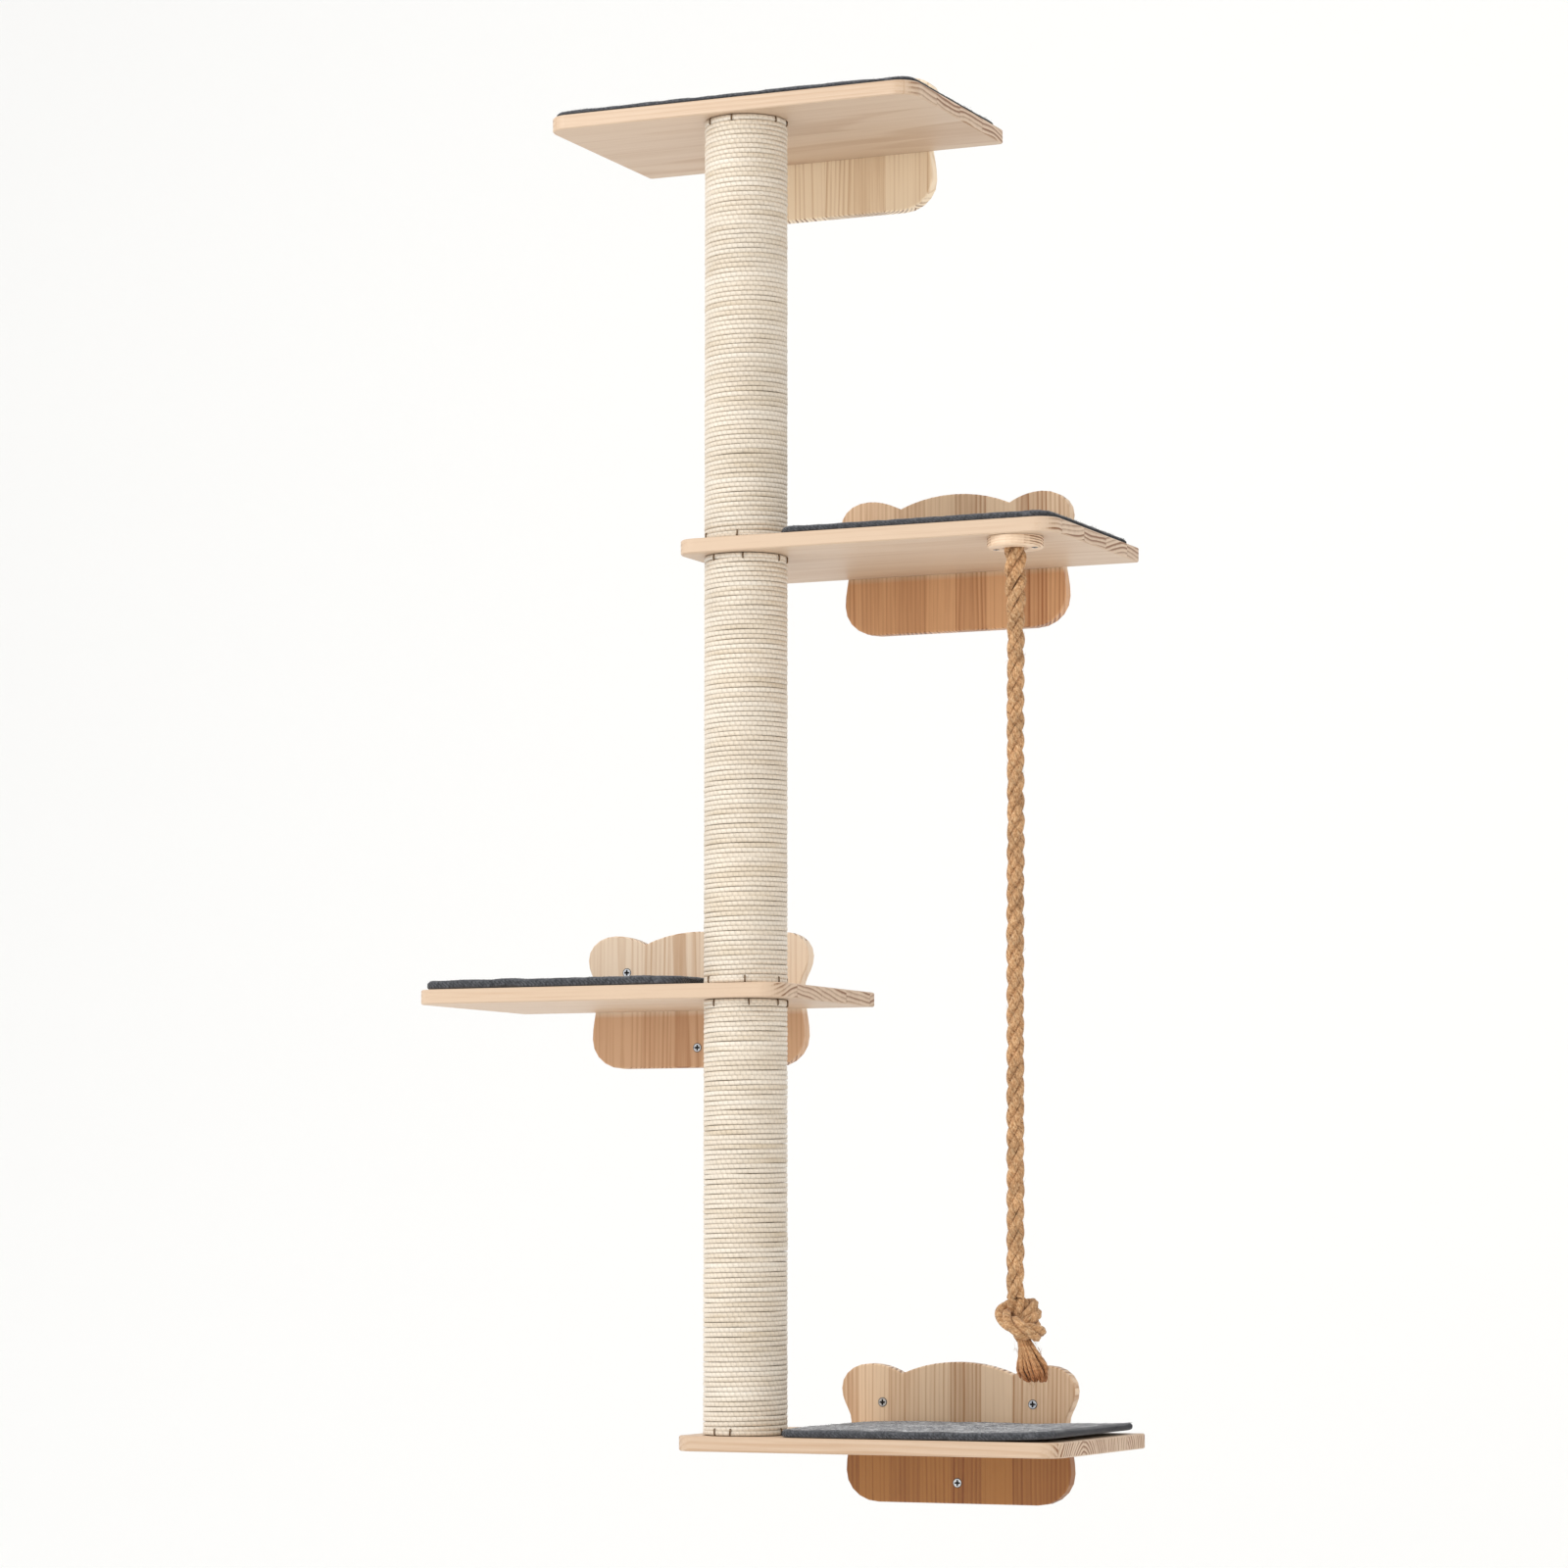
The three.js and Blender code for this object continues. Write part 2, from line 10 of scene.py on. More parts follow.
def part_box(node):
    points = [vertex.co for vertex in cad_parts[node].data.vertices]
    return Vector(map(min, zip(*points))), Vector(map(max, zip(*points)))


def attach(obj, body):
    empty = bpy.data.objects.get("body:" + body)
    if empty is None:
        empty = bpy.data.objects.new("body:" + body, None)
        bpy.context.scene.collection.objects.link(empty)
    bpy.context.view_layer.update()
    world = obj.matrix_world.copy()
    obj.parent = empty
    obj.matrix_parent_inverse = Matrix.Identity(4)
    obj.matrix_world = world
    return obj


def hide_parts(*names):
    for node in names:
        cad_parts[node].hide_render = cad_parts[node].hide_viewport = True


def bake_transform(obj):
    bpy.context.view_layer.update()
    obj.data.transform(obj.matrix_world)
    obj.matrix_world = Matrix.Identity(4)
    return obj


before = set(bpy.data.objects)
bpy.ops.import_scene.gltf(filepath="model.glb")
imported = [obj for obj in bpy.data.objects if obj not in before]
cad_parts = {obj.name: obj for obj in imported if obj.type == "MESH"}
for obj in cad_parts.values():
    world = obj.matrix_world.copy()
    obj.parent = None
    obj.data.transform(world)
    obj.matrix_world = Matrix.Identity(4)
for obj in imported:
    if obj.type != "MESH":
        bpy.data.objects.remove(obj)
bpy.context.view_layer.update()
MM = 0.001

# ------------------------------------------------------------------ studio
# A pale floor that sweeps up into a backdrop, one large soft light high on the left and a weaker
# one on the right, and a long lens a little above the lowest shelf, tilted up at the tree.
scene = bpy.context.scene
scene.view_settings.view_transform = "Standard"

POST_LOW, POST_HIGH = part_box("bottom_post_sisal")
POST_AXIS = (POST_LOW + POST_HIGH) / 2
CAMERA_TURN = math.radians(24.11)
CAMERA_TILT = math.radians(5.35)
CAMERA_AWAY = 4802.7 * MM
CAMERA_ASIDE = 38.7 * MM
CAMERA_HEIGHT = 203.7 * MM
CAMERA_LENS = 109.4
LIGHTS = {                          # where each stands, its size, its power and its tint
    "key_light": ((-2.6, -3.2, 2.9), 1.8, 92.0, (1.0, 0.985, 0.96)),
    "side_light": ((3.4, -2.4, 1.2), 2.2, 20.0, (1.0, 0.92, 0.81)),
}
LIT_POINT = (0.0, -0.15, 0.7)       # both lights aim at the middle of the tree
AIR_STRENGTH = 0.88
FLOOR_LEVEL = -0.42
FLOOR_HALF_WIDTH = 9.0
FLOOR_FRONT = -9.0
SWEEP_START = 1.5                   # the floor starts to curve up here
SWEEP_RADIUS = 2.5
SWEEP_STEPS = 12
BACKDROP_TOP = 9.0


def material_tree(name, finish):
    """A new material with one Principled shader, its sockets set to this finish; gives the material,
    its node tree and the shader."""
    material = bpy.data.materials.new(name)
    material.use_nodes = True
    shader = material.node_tree.nodes["Principled BSDF"]
    for socket, value in finish.items():
        shader.inputs[socket].default_value = value
    return material, material.node_tree, shader


def put(tree, kind, inputs=(), **settings):
    """Adds a node; inputs maps sockets to plain values or to the outputs that feed them."""
    made = tree.nodes.new(kind)
    for setting, value in settings.items():
        setattr(made, setting, value)
    for socket, value in dict(inputs).items():
        if isinstance(value, bpy.types.NodeSocket):
            tree.links.new(value, made.inputs[socket])
        else:
            made.inputs[socket].default_value = value
    return made


def colour(red, green, blue):
    """A linear RGBA colour from the 0 to 255 values that a paint chart gives."""
    return tuple((part / 255) ** 2.2 for part in (red, green, blue)) + (1.0,)


def grid_object(name, grids, material, uv_name="across_and_along"):
    """One smooth object of four-sided grids; each grid is its points, faces and face corners' UVs."""
    points = np.concatenate([grid[0] for grid in grids]).astype(np.float32)
    shifts = np.cumsum([0] + [len(grid[0]) for grid in grids[:-1]])
    faces = np.concatenate([grid[1] + shift for grid, shift in zip(grids, shifts)]).astype(np.int32)
    uvs = np.concatenate([grid[2].reshape(-1, 2) for grid in grids]).astype(np.float32)
    mesh = bpy.data.meshes.new(name)
    mesh.vertices.add(len(points))
    mesh.vertices.foreach_set("co", points.ravel())
    mesh.loops.add(faces.size)
    mesh.loops.foreach_set("vertex_index", faces.ravel())
    mesh.polygons.add(len(faces))
    mesh.polygons.foreach_set("loop_start", np.arange(0, faces.size, 4, dtype=np.int32))
    mesh.polygons.foreach_set("use_smooth", np.ones(len(faces), bool))
    mesh.update(calc_edges=True)
    mesh.uv_layers.new(name=uv_name).data.foreach_set("uv", uvs.ravel())
    mesh.materials.append(material)
    made = bpy.data.objects.new(name, mesh)
    scene.collection.objects.link(made)
    return made


def lofted(rings, closed=True):
    """The points and faces of a surface through rings that all have the same number of points."""
    count, around = rings.shape[:2]
    point = np.arange(around if closed else around - 1)
    following = (point + 1) % around
    start = np.arange(count - 1)[:, None] * around
    faces = np.stack([start + point, start + following, start + around + following,
                      start + around + point], -1)
    return rings.reshape(-1, 3), faces.reshape(-1, 4)


def make_floor():
    """The floor runs back and curves up into the backdrop behind the tree."""
    material, tree, shader = material_tree("studio_paper", {"Roughness": 0.9})
    speckle = put(tree, "ShaderNodeTexNoise", {"Scale": 3.0})
    tint = put(tree, "ShaderNodeMix", {"Factor": speckle.outputs["Fac"], "A": colour(247, 247, 246),
                                       "B": colour(249, 249, 248)}, data_type="RGBA")
    tree.links.new(tint.outputs["Result"], shader.inputs["Base Color"])
    profile = [(FLOOR_FRONT, FLOOR_LEVEL), (SWEEP_START, FLOOR_LEVEL)]
    for step in range(1, SWEEP_STEPS + 1):
        turn = step / SWEEP_STEPS * math.pi / 2
        profile.append((SWEEP_START + SWEEP_RADIUS * math.sin(turn),
                        FLOOR_LEVEL + SWEEP_RADIUS * (1 - math.cos(turn))))
    profile.append((SWEEP_START + SWEEP_RADIUS, BACKDROP_TOP))
    rings = np.array([[(-FLOOR_HALF_WIDTH, y, z), (FLOOR_HALF_WIDTH, y, z)] for y, z in profile])
    points, faces = lofted(rings, closed=False)
    grid_object("studio_floor", [(points, faces, np.zeros((len(faces), 4, 2)))], material)


def make_lights():
    """Two square soft lights, and an even white glow from all round."""
    for name, (place, size, power, tint) in LIGHTS.items():
        lamp = bpy.data.lights.new(name, "AREA")
        lamp.shape = "SQUARE"
        lamp.size = size
        lamp.energy = power
        lamp.color = tint
        made = bpy.data.objects.new(name, lamp)
        made.location = place
        made.rotation_euler = (Vector(LIT_POINT) - Vector(place)).to_track_quat("-Z", "Y").to_euler()
        scene.collection.objects.link(made)
    world = bpy.data.worlds.new("studio_air")
    scene.world = world
    world.use_nodes = True
    world.node_tree.nodes["Background"].inputs["Color"].default_value = (1.0, 1.0, 1.0, 1.0)
    world.node_tree.nodes["Background"].inputs["Strength"].default_value = AIR_STRENGTH


def make_camera():
    """The camera stands off the posts' line, level with the space over the lowest shelf."""
    lens = bpy.data.cameras.new("camera")
    lens.sensor_width = 36.0
    lens.lens = CAMERA_LENS
    lens.clip_start = 0.1
    lens.clip_end = 100.0
    made = bpy.data.objects.new("camera", lens)
    forward = Vector((-math.sin(CAMERA_TURN), math.cos(CAMERA_TURN), 0.0))
    right = Vector((math.cos(CAMERA_TURN), math.sin(CAMERA_TURN), 0.0))
    place = Vector((POST_AXIS.x, POST_AXIS.y, CAMERA_HEIGHT)) - forward * CAMERA_AWAY
    made.location = place + right * CAMERA_ASIDE
    made.rotation_euler = (math.pi / 2 + CAMERA_TILT, 0.0, CAMERA_TURN)
    scene.collection.objects.link(made)
    scene.camera = made


make_floor()
make_lights()
make_camera()

# ------------------------------------------------------------------ hanging rope
# A three-strand laid jute rope, 18 mm thick, that comes out of a wooden disc under the upper shelf
# and ends in an overhand knot. The part below the knot is unlaid into a tassel of loose yarns.
ROPE_RADIUS = 9.0 * MM
ROPE_ROUTE_MM = [
    (154.0, -234.3, 873.7), (154.0, -234.3, 853.7), (154.0, -234.3, 833.7), (154.0, -234.2, 805.0),
    (153.8, -234.4, 770.0), (153.4, -234.5, 735.0), (153.1, -234.4, 695.0), (152.9, -234.1, 650.0),
    (152.8, -233.9, 605.0), (152.5, -234.0, 560.0), (152.1, -234.3, 515.0), (151.9, -234.5, 470.0),
    (151.8, -234.6, 425.0), (151.6, -234.4, 380.0), (151.3, -234.2, 335.0), (151.0, -234.1, 290.0),
    (150.9, -234.2, 245.0), (150.7, -234.3, 200.0), (150.4, -234.3, 165.0), (150.2, -234.3, 137.3),
]
ROPE_LAY = 60.0 * MM                # length of rope in which a strand goes once round
ROPE_STEP = 2.0 * MM
KNOT_ROPE_LENGTH = 190.0 * MM       # rope taken up by the knot
KNOT_TURN = math.radians(138)       # how the knot is turned about the rope
TAIL_ASIDE = 9.0 * MM               # the loose end leaves the knot this far to the right
TAIL_LEAN = 0.42                    # and runs this far aside for each unit down
SLACK_LENGTH = 60.0 * MM            # the rope is wider for this far below its disc
STRAND_SIDES = 30
STRAND_YARNS = 6
YARN_LAY = 26.0 * MM                # length of strand in which a yarn goes once round
FIBRE_RADIUS = 0.12 * MM
LOW_TASSEL_TINT = (0.55, 0.4, 0.32, 1.0)
TASSEL_DARKENING_HEIGHTS = (84.0 * MM, 60.0 * MM)     # the tassel darkens from the first and is darkest at the second
TASSEL_YARNS = 64
TASSEL_STEPS = 12                   # bends in a yarn of the tassel
TASSEL_NECK = 5.2                   # mm from the tassel's middle to its outer yarns, at its top
TASSEL_FLARE = 9.6                  # mm that they spread further below it
TASSEL_CURL = 4.2                   # mm that their ends come back in


def effect_group(name, inputs, outputs):
    """A new shader node group with these sockets; gives the group, its input and its output node."""
    group = bpy.data.node_groups.new(name, "ShaderNodeTree")
    for label, kind, value in inputs:
        socket = group.interface.new_socket(label, in_out="INPUT", socket_type=kind)
        if value is not None:
            socket.default_value = value
    for label, kind in outputs:
        group.interface.new_socket(label, in_out="OUTPUT", socket_type=kind)
    return group, group.nodes.new("NodeGroupInput"), group.nodes.new("NodeGroupOutput")


def maths_in(tree):
    """A function that adds a Math node to the tree and gives its output."""
    def maths(operation, *values):
        return put(tree, "ShaderNodeMath", dict(enumerate(values)), operation=operation).outputs["Value"]
    return maths


def mottling(tree, place, scale, detail, roughness=0.5, distortion=0.0):
    """Noise from 0 to 1 over a place, in patches of about one part in scale of a metre."""
    return put(tree, "ShaderNodeTexNoise", {"Vector": place, "Scale": scale, "Detail": detail,
                                            "Roughness": roughness, "Distortion": distortion}).outputs["Fac"]


def remapped(tree, value, low, high, to_low=0.0, to_high=1.0, **settings):
    """The value carried from one range onto another, and kept inside it."""
    return put(tree, "ShaderNodeMapRange",
               {"Value": value, "From Min": low, "From Max": high, "To Min": to_low, "To Max": to_high},
               **settings).outputs["Result"]


def coloured(tree, value, *stops):
    """The colour at a value; stops are pairs of a value and its colour, in order."""
    made = put(tree, "ShaderNodeValToRGB", {"Fac": value})
    elements = made.color_ramp.elements
    first, *between, last = stops
    elements[0].position, elements[0].color = first
    elements[1].position, elements[1].color = last
    for position, tint in between:
        elements.new(position).color = tint
    return made.outputs["Color"]


def toned(tree, base, tone, share=1.0):
    """The base colour multiplied by a tone or tint, as far as share says."""
    return put(tree, "ShaderNodeMix", {"Factor": share, 6: base, 7: tone},
               data_type="RGBA", blend_type="MULTIPLY").outputs[2]


def finish_surface(tree, shader, base, height=None, depth=0.0, strength=1.0):
    """Feeds the shader its colour and, where there is a height, a bump of that depth."""
    tree.links.new(base, shader.inputs["Base Color"])
    if height is not None:
        bump = put(tree, "ShaderNodeBump", {"Height": height, "Strength": strength, "Distance": depth})
        tree.links.new(bump.outputs["Normal"], shader.inputs["Normal"])


def make_spun_fibre():
    """Twisted fibre: X of Along is once round the yarn, Y is metres along it; plies cross slantwise."""
    group, given, result = effect_group(
        "spun_fibre",
        [("Along", "NodeSocketVector", None), ("Ply Length", "NodeSocketFloat", 0.005),
         ("Ply Slant", "NodeSocketFloat", 1.0), ("Fibre Size", "NodeSocketFloat", 1.0)],
        [("Fibres", "NodeSocketFloat"), ("Groove", "NodeSocketFloat"), ("Height", "NodeSocketFloat")])
    maths = maths_in(group)
    part = put(group, "ShaderNodeSeparateXYZ", {"Vector": given.outputs["Along"]})
    crossing = maths("ADD", maths("MULTIPLY", part.outputs["X"], given.outputs["Ply Slant"]),
                     maths("DIVIDE", part.outputs["Y"], given.outputs["Ply Length"]))
    from_crown = maths("ABSOLUTE", maths("MULTIPLY_ADD", maths("FRACT", crossing), 2.0, -1.0))
    groove = maths("POWER", from_crown, 5.0)
    lying = put(group, "ShaderNodeCombineXYZ",
                {"X": maths("MULTIPLY", crossing, 3.0), "Y": maths("MULTIPLY", part.outputs["Y"], 55.0),
                 "Z": maths("MULTIPLY", part.outputs["X"], 7.0)})
    fibres = mottling(group, lying.outputs["Vector"], given.outputs["Fibre Size"], 5.0, 0.68, 0.5)
    round_ply = maths("SUBTRACT", 1.0, maths("POWER", from_crown, 2.2))
    height = maths("MULTIPLY_ADD", fibres, 0.45, round_ply)
    group.links.new(fibres, result.inputs["Fibres"])
    group.links.new(groove, result.inputs["Groove"])
    group.links.new(height, result.inputs["Height"])
    return group


SPUN_FIBRE = make_spun_fibre()


def make_jute(name, dark, middle, pale, darkened_below=None):
    """Brown jute: fine slanting fibres, painted shade in the grooves, with the odd paler yarn.

    The last argument gives the height that the colour starts to darken from, going down, and the height it
    is darkest at."""
    material, tree, shader = material_tree(name, {"Roughness": 0.88, "Sheen Weight": 0.1,
                                                  "Specular IOR Level": 0.25})
    uv = put(tree, "ShaderNodeUVMap", uv_map="across_and_along")
    spun = put(tree, "ShaderNodeGroup", {"Along": uv.outputs["UV"], "Ply Length": 9.0 * MM,
                                         "Ply Slant": 2.0, "Fibre Size": 1.6}, node_tree=SPUN_FIBRE)
    place = put(tree, "ShaderNodeTexCoord").outputs["Object"]
    base = coloured(tree, spun.outputs["Fibres"], (0.3, dark), (0.5, middle), (0.72, pale))
    patch_tone = remapped(tree, mottling(tree, place, 60.0, 4.0), 0.3, 0.7, 0.78, 1.12)
    # Painted shade: the grooves between plies are darkened, to 0.7 at their deepest.
    groove_painted_shade = remapped(tree, spun.outputs["Groove"], 0.0, 1.0, 1.0, 0.7)
    base = toned(tree, base, maths_in(tree)("MULTIPLY", patch_tone, groove_painted_shade))
    # Darker towards the bottom: below the first height the colour is multiplied by the tint, fully so at the
    # second.
    if darkened_below:
        height = put(tree, "ShaderNodeSeparateXYZ", {"Vector": place}).outputs["Z"]
        base = toned(tree, base, LOW_TASSEL_TINT, share=remapped(tree, height, *darkened_below))
    finish_surface(tree, shader, base, spun.outputs["Height"], 0.7 * MM, strength=0.7)
    return material


def length_along(points):
    """How far along the line through these points each one is."""
    return np.concatenate([[0], np.cumsum(np.linalg.norm(np.diff(points, axis=0), axis=1))])


def unit(ways):
    """These directions, each with a length of one."""
    return ways / np.linalg.norm(ways, axis=1)[:, None]


def even_points(points, spacing):
    """Points at an even spacing on a smooth curve through the given ones, and how far along each is."""
    points = np.array(points, float)
    padded = np.vstack([2 * points[0] - points[1], points, 2 * points[-1] - points[-2]])
    fine = []
    for i in range(1, len(padded) - 2):
        before, start, end, after = padded[i - 1:i + 3]
        for t in np.linspace(0, 1, 24, endpoint=False):
            fine.append(0.5 * (2 * start + (end - before) * t
                               + (2 * before - 5 * start + 4 * end - after) * t ** 2
                               + (3 * start - before - 3 * end + after) * t ** 3))
    fine = np.array(fine + [points[-1]])
    lengths = length_along(fine)
    wanted = np.linspace(0, lengths[-1], max(4, int(round(lengths[-1] / spacing)) + 1))
    return np.stack([np.interp(wanted, lengths, fine[:, axis]) for axis in range(3)], 1), wanted


def carried_across(points):
    """Two directions across the curve at each point, carried along it without twisting."""
    tangents = unit(np.gradient(points, axis=0))
    across = np.cross(tangents[0], [0.0, 1.0, 0.0] if abs(tangents[0][1]) < 0.9 else [1.0, 0.0, 0.0])
    first = []
    for tangent in tangents:
        across = across - tangent * (across @ tangent)
        across = across / np.linalg.norm(across)
        first.append(across)
    first = np.array(first)
    return first, np.cross(tangents, first)


def wrapped_uv(sides, along):
    """UVs of a lofted grid: X goes once round its rings, Y is given for each ring."""
    around = np.arange(sides + 1) / sides
    uv = np.empty((len(along) - 1, sides, 4, 2))
    uv[..., 0, 0] = uv[..., 3, 0] = around[:-1]
    uv[..., 1, 0] = uv[..., 2, 0] = around[1:]
    uv[..., 0, 1] = uv[..., 1, 1] = along[:-1, None]
    uv[..., 2, 1] = uv[..., 3, 1] = along[1:, None]
    return uv.reshape(-1, 2)


def tube(points, radii, sides, across=None, ridges=0, ridge_depth=0.0, ridge_slant=0.0):
    """A tube along points; across gives the directions of its sections, ridges the yarns in it.

    ridge_depth is one share of the radius, or one for every point."""
    first, second = across or carried_across(points)
    along = length_along(points)
    angles = np.linspace(0, 2 * math.pi, sides, endpoint=False) + math.pi
    depth = np.broadcast_to(ridge_depth, len(points))[:, None]
    wave = 1 + depth * np.cos(ridges * angles[None, :] + ridge_slant * along[:, None])
    reach = np.asarray(radii)[:, None] * wave
    rings = (points[:, None, :] + first[:, None, :] * (np.cos(angles) * reach)[:, :, None]
             + second[:, None, :] * (np.sin(angles) * reach)[:, :, None])
    vertices, faces = lofted(rings)
    return vertices, faces, wrapped_uv(sides, along)


def hairs(roots, ways, lengths, thickness, droop):
    """Thin tapering fibres, all in one grid, each of three bends with three sides."""
    ways = unit(ways)
    helper = np.where(np.abs(ways[:, 2:3]) < 0.8, [[0.0, 0.0, 1.0]], [[1.0, 0.0, 0.0]])
    first = unit(np.cross(ways, helper))
    second = np.cross(ways, first)
    stops = np.array([0.0, 0.3, 0.65, 1.0])
    middle = roots[:, None, :] + lengths[:, None, None] * (
        ways[:, None, :] * stops[None, :, None]
        + np.asarray(droop)[..., None, :] * stops[None, :, None] ** 2)
    angles = np.array([0, 2, 4]) / 3 * math.pi
    reach = thickness * np.array([1.0, 0.9, 0.7, 0.15])
    rings = (middle[:, :, None, :]
             + first[:, None, None, :] * (np.cos(angles)[None, :] * reach[:, None])[None, :, :, None]
             + second[:, None, None, :] * (np.sin(angles)[None, :] * reach[:, None])[None, :, :, None])
    _, one = lofted(rings[0])
    points_each = len(stops) * len(angles)
    faces = (one[None] + points_each * np.arange(len(roots))[:, None, None]).reshape(-1, 4)
    uv = np.empty((len(roots), len(one), 4, 2))
    uv[..., 0] = np.random.default_rng(len(roots)).uniform(0, 1, len(roots))[:, None, None]
    uv[..., 1] = lengths[:, None, None] * 0.5
    return rings.reshape(-1, 3), faces, uv.reshape(-1, 2)


def laid_strands(points, radius_at, start_turn, taper=0):
    """Three strands laid round the curve, each spun of yarns the other way."""
    first, second = carried_across(points)
    along = length_along(points)
    radii = np.array([radius_at(step) for step in along])
    thickness = np.minimum(radii, ROPE_RADIUS) / 2.04
    strands = []
    for strand in range(3):
        turn = start_turn + 2 * math.pi * (along / ROPE_LAY + strand / 3)
        reach = radii - thickness
        centre = (points + first * (np.cos(turn) * reach)[:, None]
                  + second * (np.sin(turn) * reach)[:, None])
        uneven = np.array([1 + 0.06 * noise.noise(Vector((step * 30, strand * 7.3, 0.5)))
                           for step in along])
        size = thickness * uneven
        if taper:
            size[:taper] *= np.linspace(0.75, 1, taper)
            size[-taper:] *= np.linspace(1, 0.75, taper)
        loose = np.clip(radii / ROPE_RADIUS - 1, 0, 1)
        strands.append(tube(centre, size, STRAND_SIDES, ridges=STRAND_YARNS,
                            ridge_depth=0.08 + 0.35 * loose, ridge_slant=-2 * math.pi / YARN_LAY))
    return strands


def stray_fibres(points, radius, count, length, seed):
    """Loose ends of fibre that lift off the rope along its length."""
    rng = np.random.default_rng(seed)
    first, second = carried_across(points)
    tangents = unit(np.gradient(points, axis=0))
    place = rng.integers(2, len(points) - 2, count)
    turn = rng.uniform(0, 2 * math.pi, count)[:, None]
    out = first[place] * np.cos(turn) + second[place] * np.sin(turn)
    ways = (tangents[place] * rng.choice([-1.0, 1.0], count)[:, None]
            + out * rng.uniform(0.1, 0.7, (count, 1)))
    ways = ways + np.clip(rng.normal(0, 0.25, (count, 3)), -0.4, 0.4)
    sizes = length * rng.uniform(0.4, 1.15, count)
    return hairs(points[place] + out * radius * 0.84, ways, sizes, FIBRE_RADIUS, -out * 0.35)


def pull_knot(top, tail, tail_way):
    """The middle line of an overhand knot as its two ends are pulled until the rope jams on itself."""
    count, spread = 110, 8.0 * MM
    t = np.linspace(-2.25, 2.25, count)
    line = np.stack([-(t ** 3 - 3 * t), (t ** 4 - 4 * t ** 2), -(t ** 5 - 10 * t) * 0.25], 1) * spread
    cos, sin = math.cos(KNOT_TURN), math.sin(KNOT_TURN)
    line[:, :2] = line[:, :2] @ np.array([[cos, sin], [-sin, cos]])
    line += (top + tail) / 2 - line.mean(0)
    apart = 1.6 * ROPE_RADIUS
    first_length, last_length, rounds = 0.42, KNOT_ROPE_LENGTH, 1400
    i, j = np.triu_indices(count, 1)
    for turn in range(rounds):
        pulled = min(1.0, turn / (rounds * 0.75))
        step = (first_length + (last_length - first_length) * pulled) / (count - 1)
        line[2:-2] += 0.3 * ((line[1:-3] + line[3:-1]) / 2 - line[2:-2])
        for _ in range(4):
            gap = np.diff(line, axis=0)
            size = np.linalg.norm(gap, axis=1)[:, None]
            fix = gap * (1 - step / size) * 0.45
            line[:-1] += fix
            line[1:] -= fix
        far = (j - i) * step > apart * 1.5
        a, b = i[far], j[far]
        gap = line[b] - line[a]
        size = np.linalg.norm(gap, axis=1)
        near = size < apart
        push = (gap[near] / size[near, None]) * ((apart - size[near]) * 0.3)[:, None]
        np.add.at(line, a[near], -push)
        np.add.at(line, b[near], push)
        line[0], line[1] = top, top + np.array([0.0, 0.0, -step])
        line[-1], line[-2] = tail, tail - tail_way * step
    return line


def make_tassel(top, way, jute):
    """Loose yarns that spread below the knot and curl in at their ends."""
    rng = np.random.default_rng(5)
    low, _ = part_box("rope_tassel")
    height = (top[2] - low.z) / -way[2] + 4 * MM
    yarns = []
    for number in range(TASSEL_YARNS):
        turn = number * 2.4 + rng.uniform(-0.3, 0.3)
        share = math.sqrt((number + 0.5) / TASSEL_YARNS)
        length = height * rng.uniform(0.82, 1.0)
        curl = rng.uniform(0.3, 1.0)
        line = []
        for step in range(TASSEL_STEPS + 1):
            t = step / TASSEL_STEPS
            spread = (TASSEL_NECK + TASSEL_FLARE * min(t / 0.72, 1) ** 1.5
                      - TASSEL_CURL * curl * max(0, t - 0.78) / 0.22)
            swirl = turn + 0.35 * t
            lean = 1 - 0.35 * t
            line.append(top + way * (length * t - 4 * MM) * np.array([lean, 1, 1])
                        + np.array([math.cos(swirl), math.sin(swirl), 0]) * spread * MM * share
                        + np.array([0, 0, 1.2 * MM * curl * max(0, t - 0.8) / 0.2]))
        points, _ = even_points(line, 1.8 * MM)
        thick = rng.uniform(1.35, 2.0) * MM
        fade = np.concatenate([np.linspace(0.8, 1.0, len(points) - 3), [0.95, 0.8, 0.35]])
        yarns.append(tube(points, thick * fade, 12, ridges=3, ridge_depth=0.16, ridge_slant=700.0))
    middle = np.array([top + way * (height * 0.9 * t) for t in np.linspace(0, 1, 30)])
    yarns.append(stray_fibres(middle, 13 * MM, 170, 7 * MM, 21))
    tassel = grid_object("jute_tassel", yarns, jute)
    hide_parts("rope_tassel")
    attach(tassel, "rope")
    return tassel


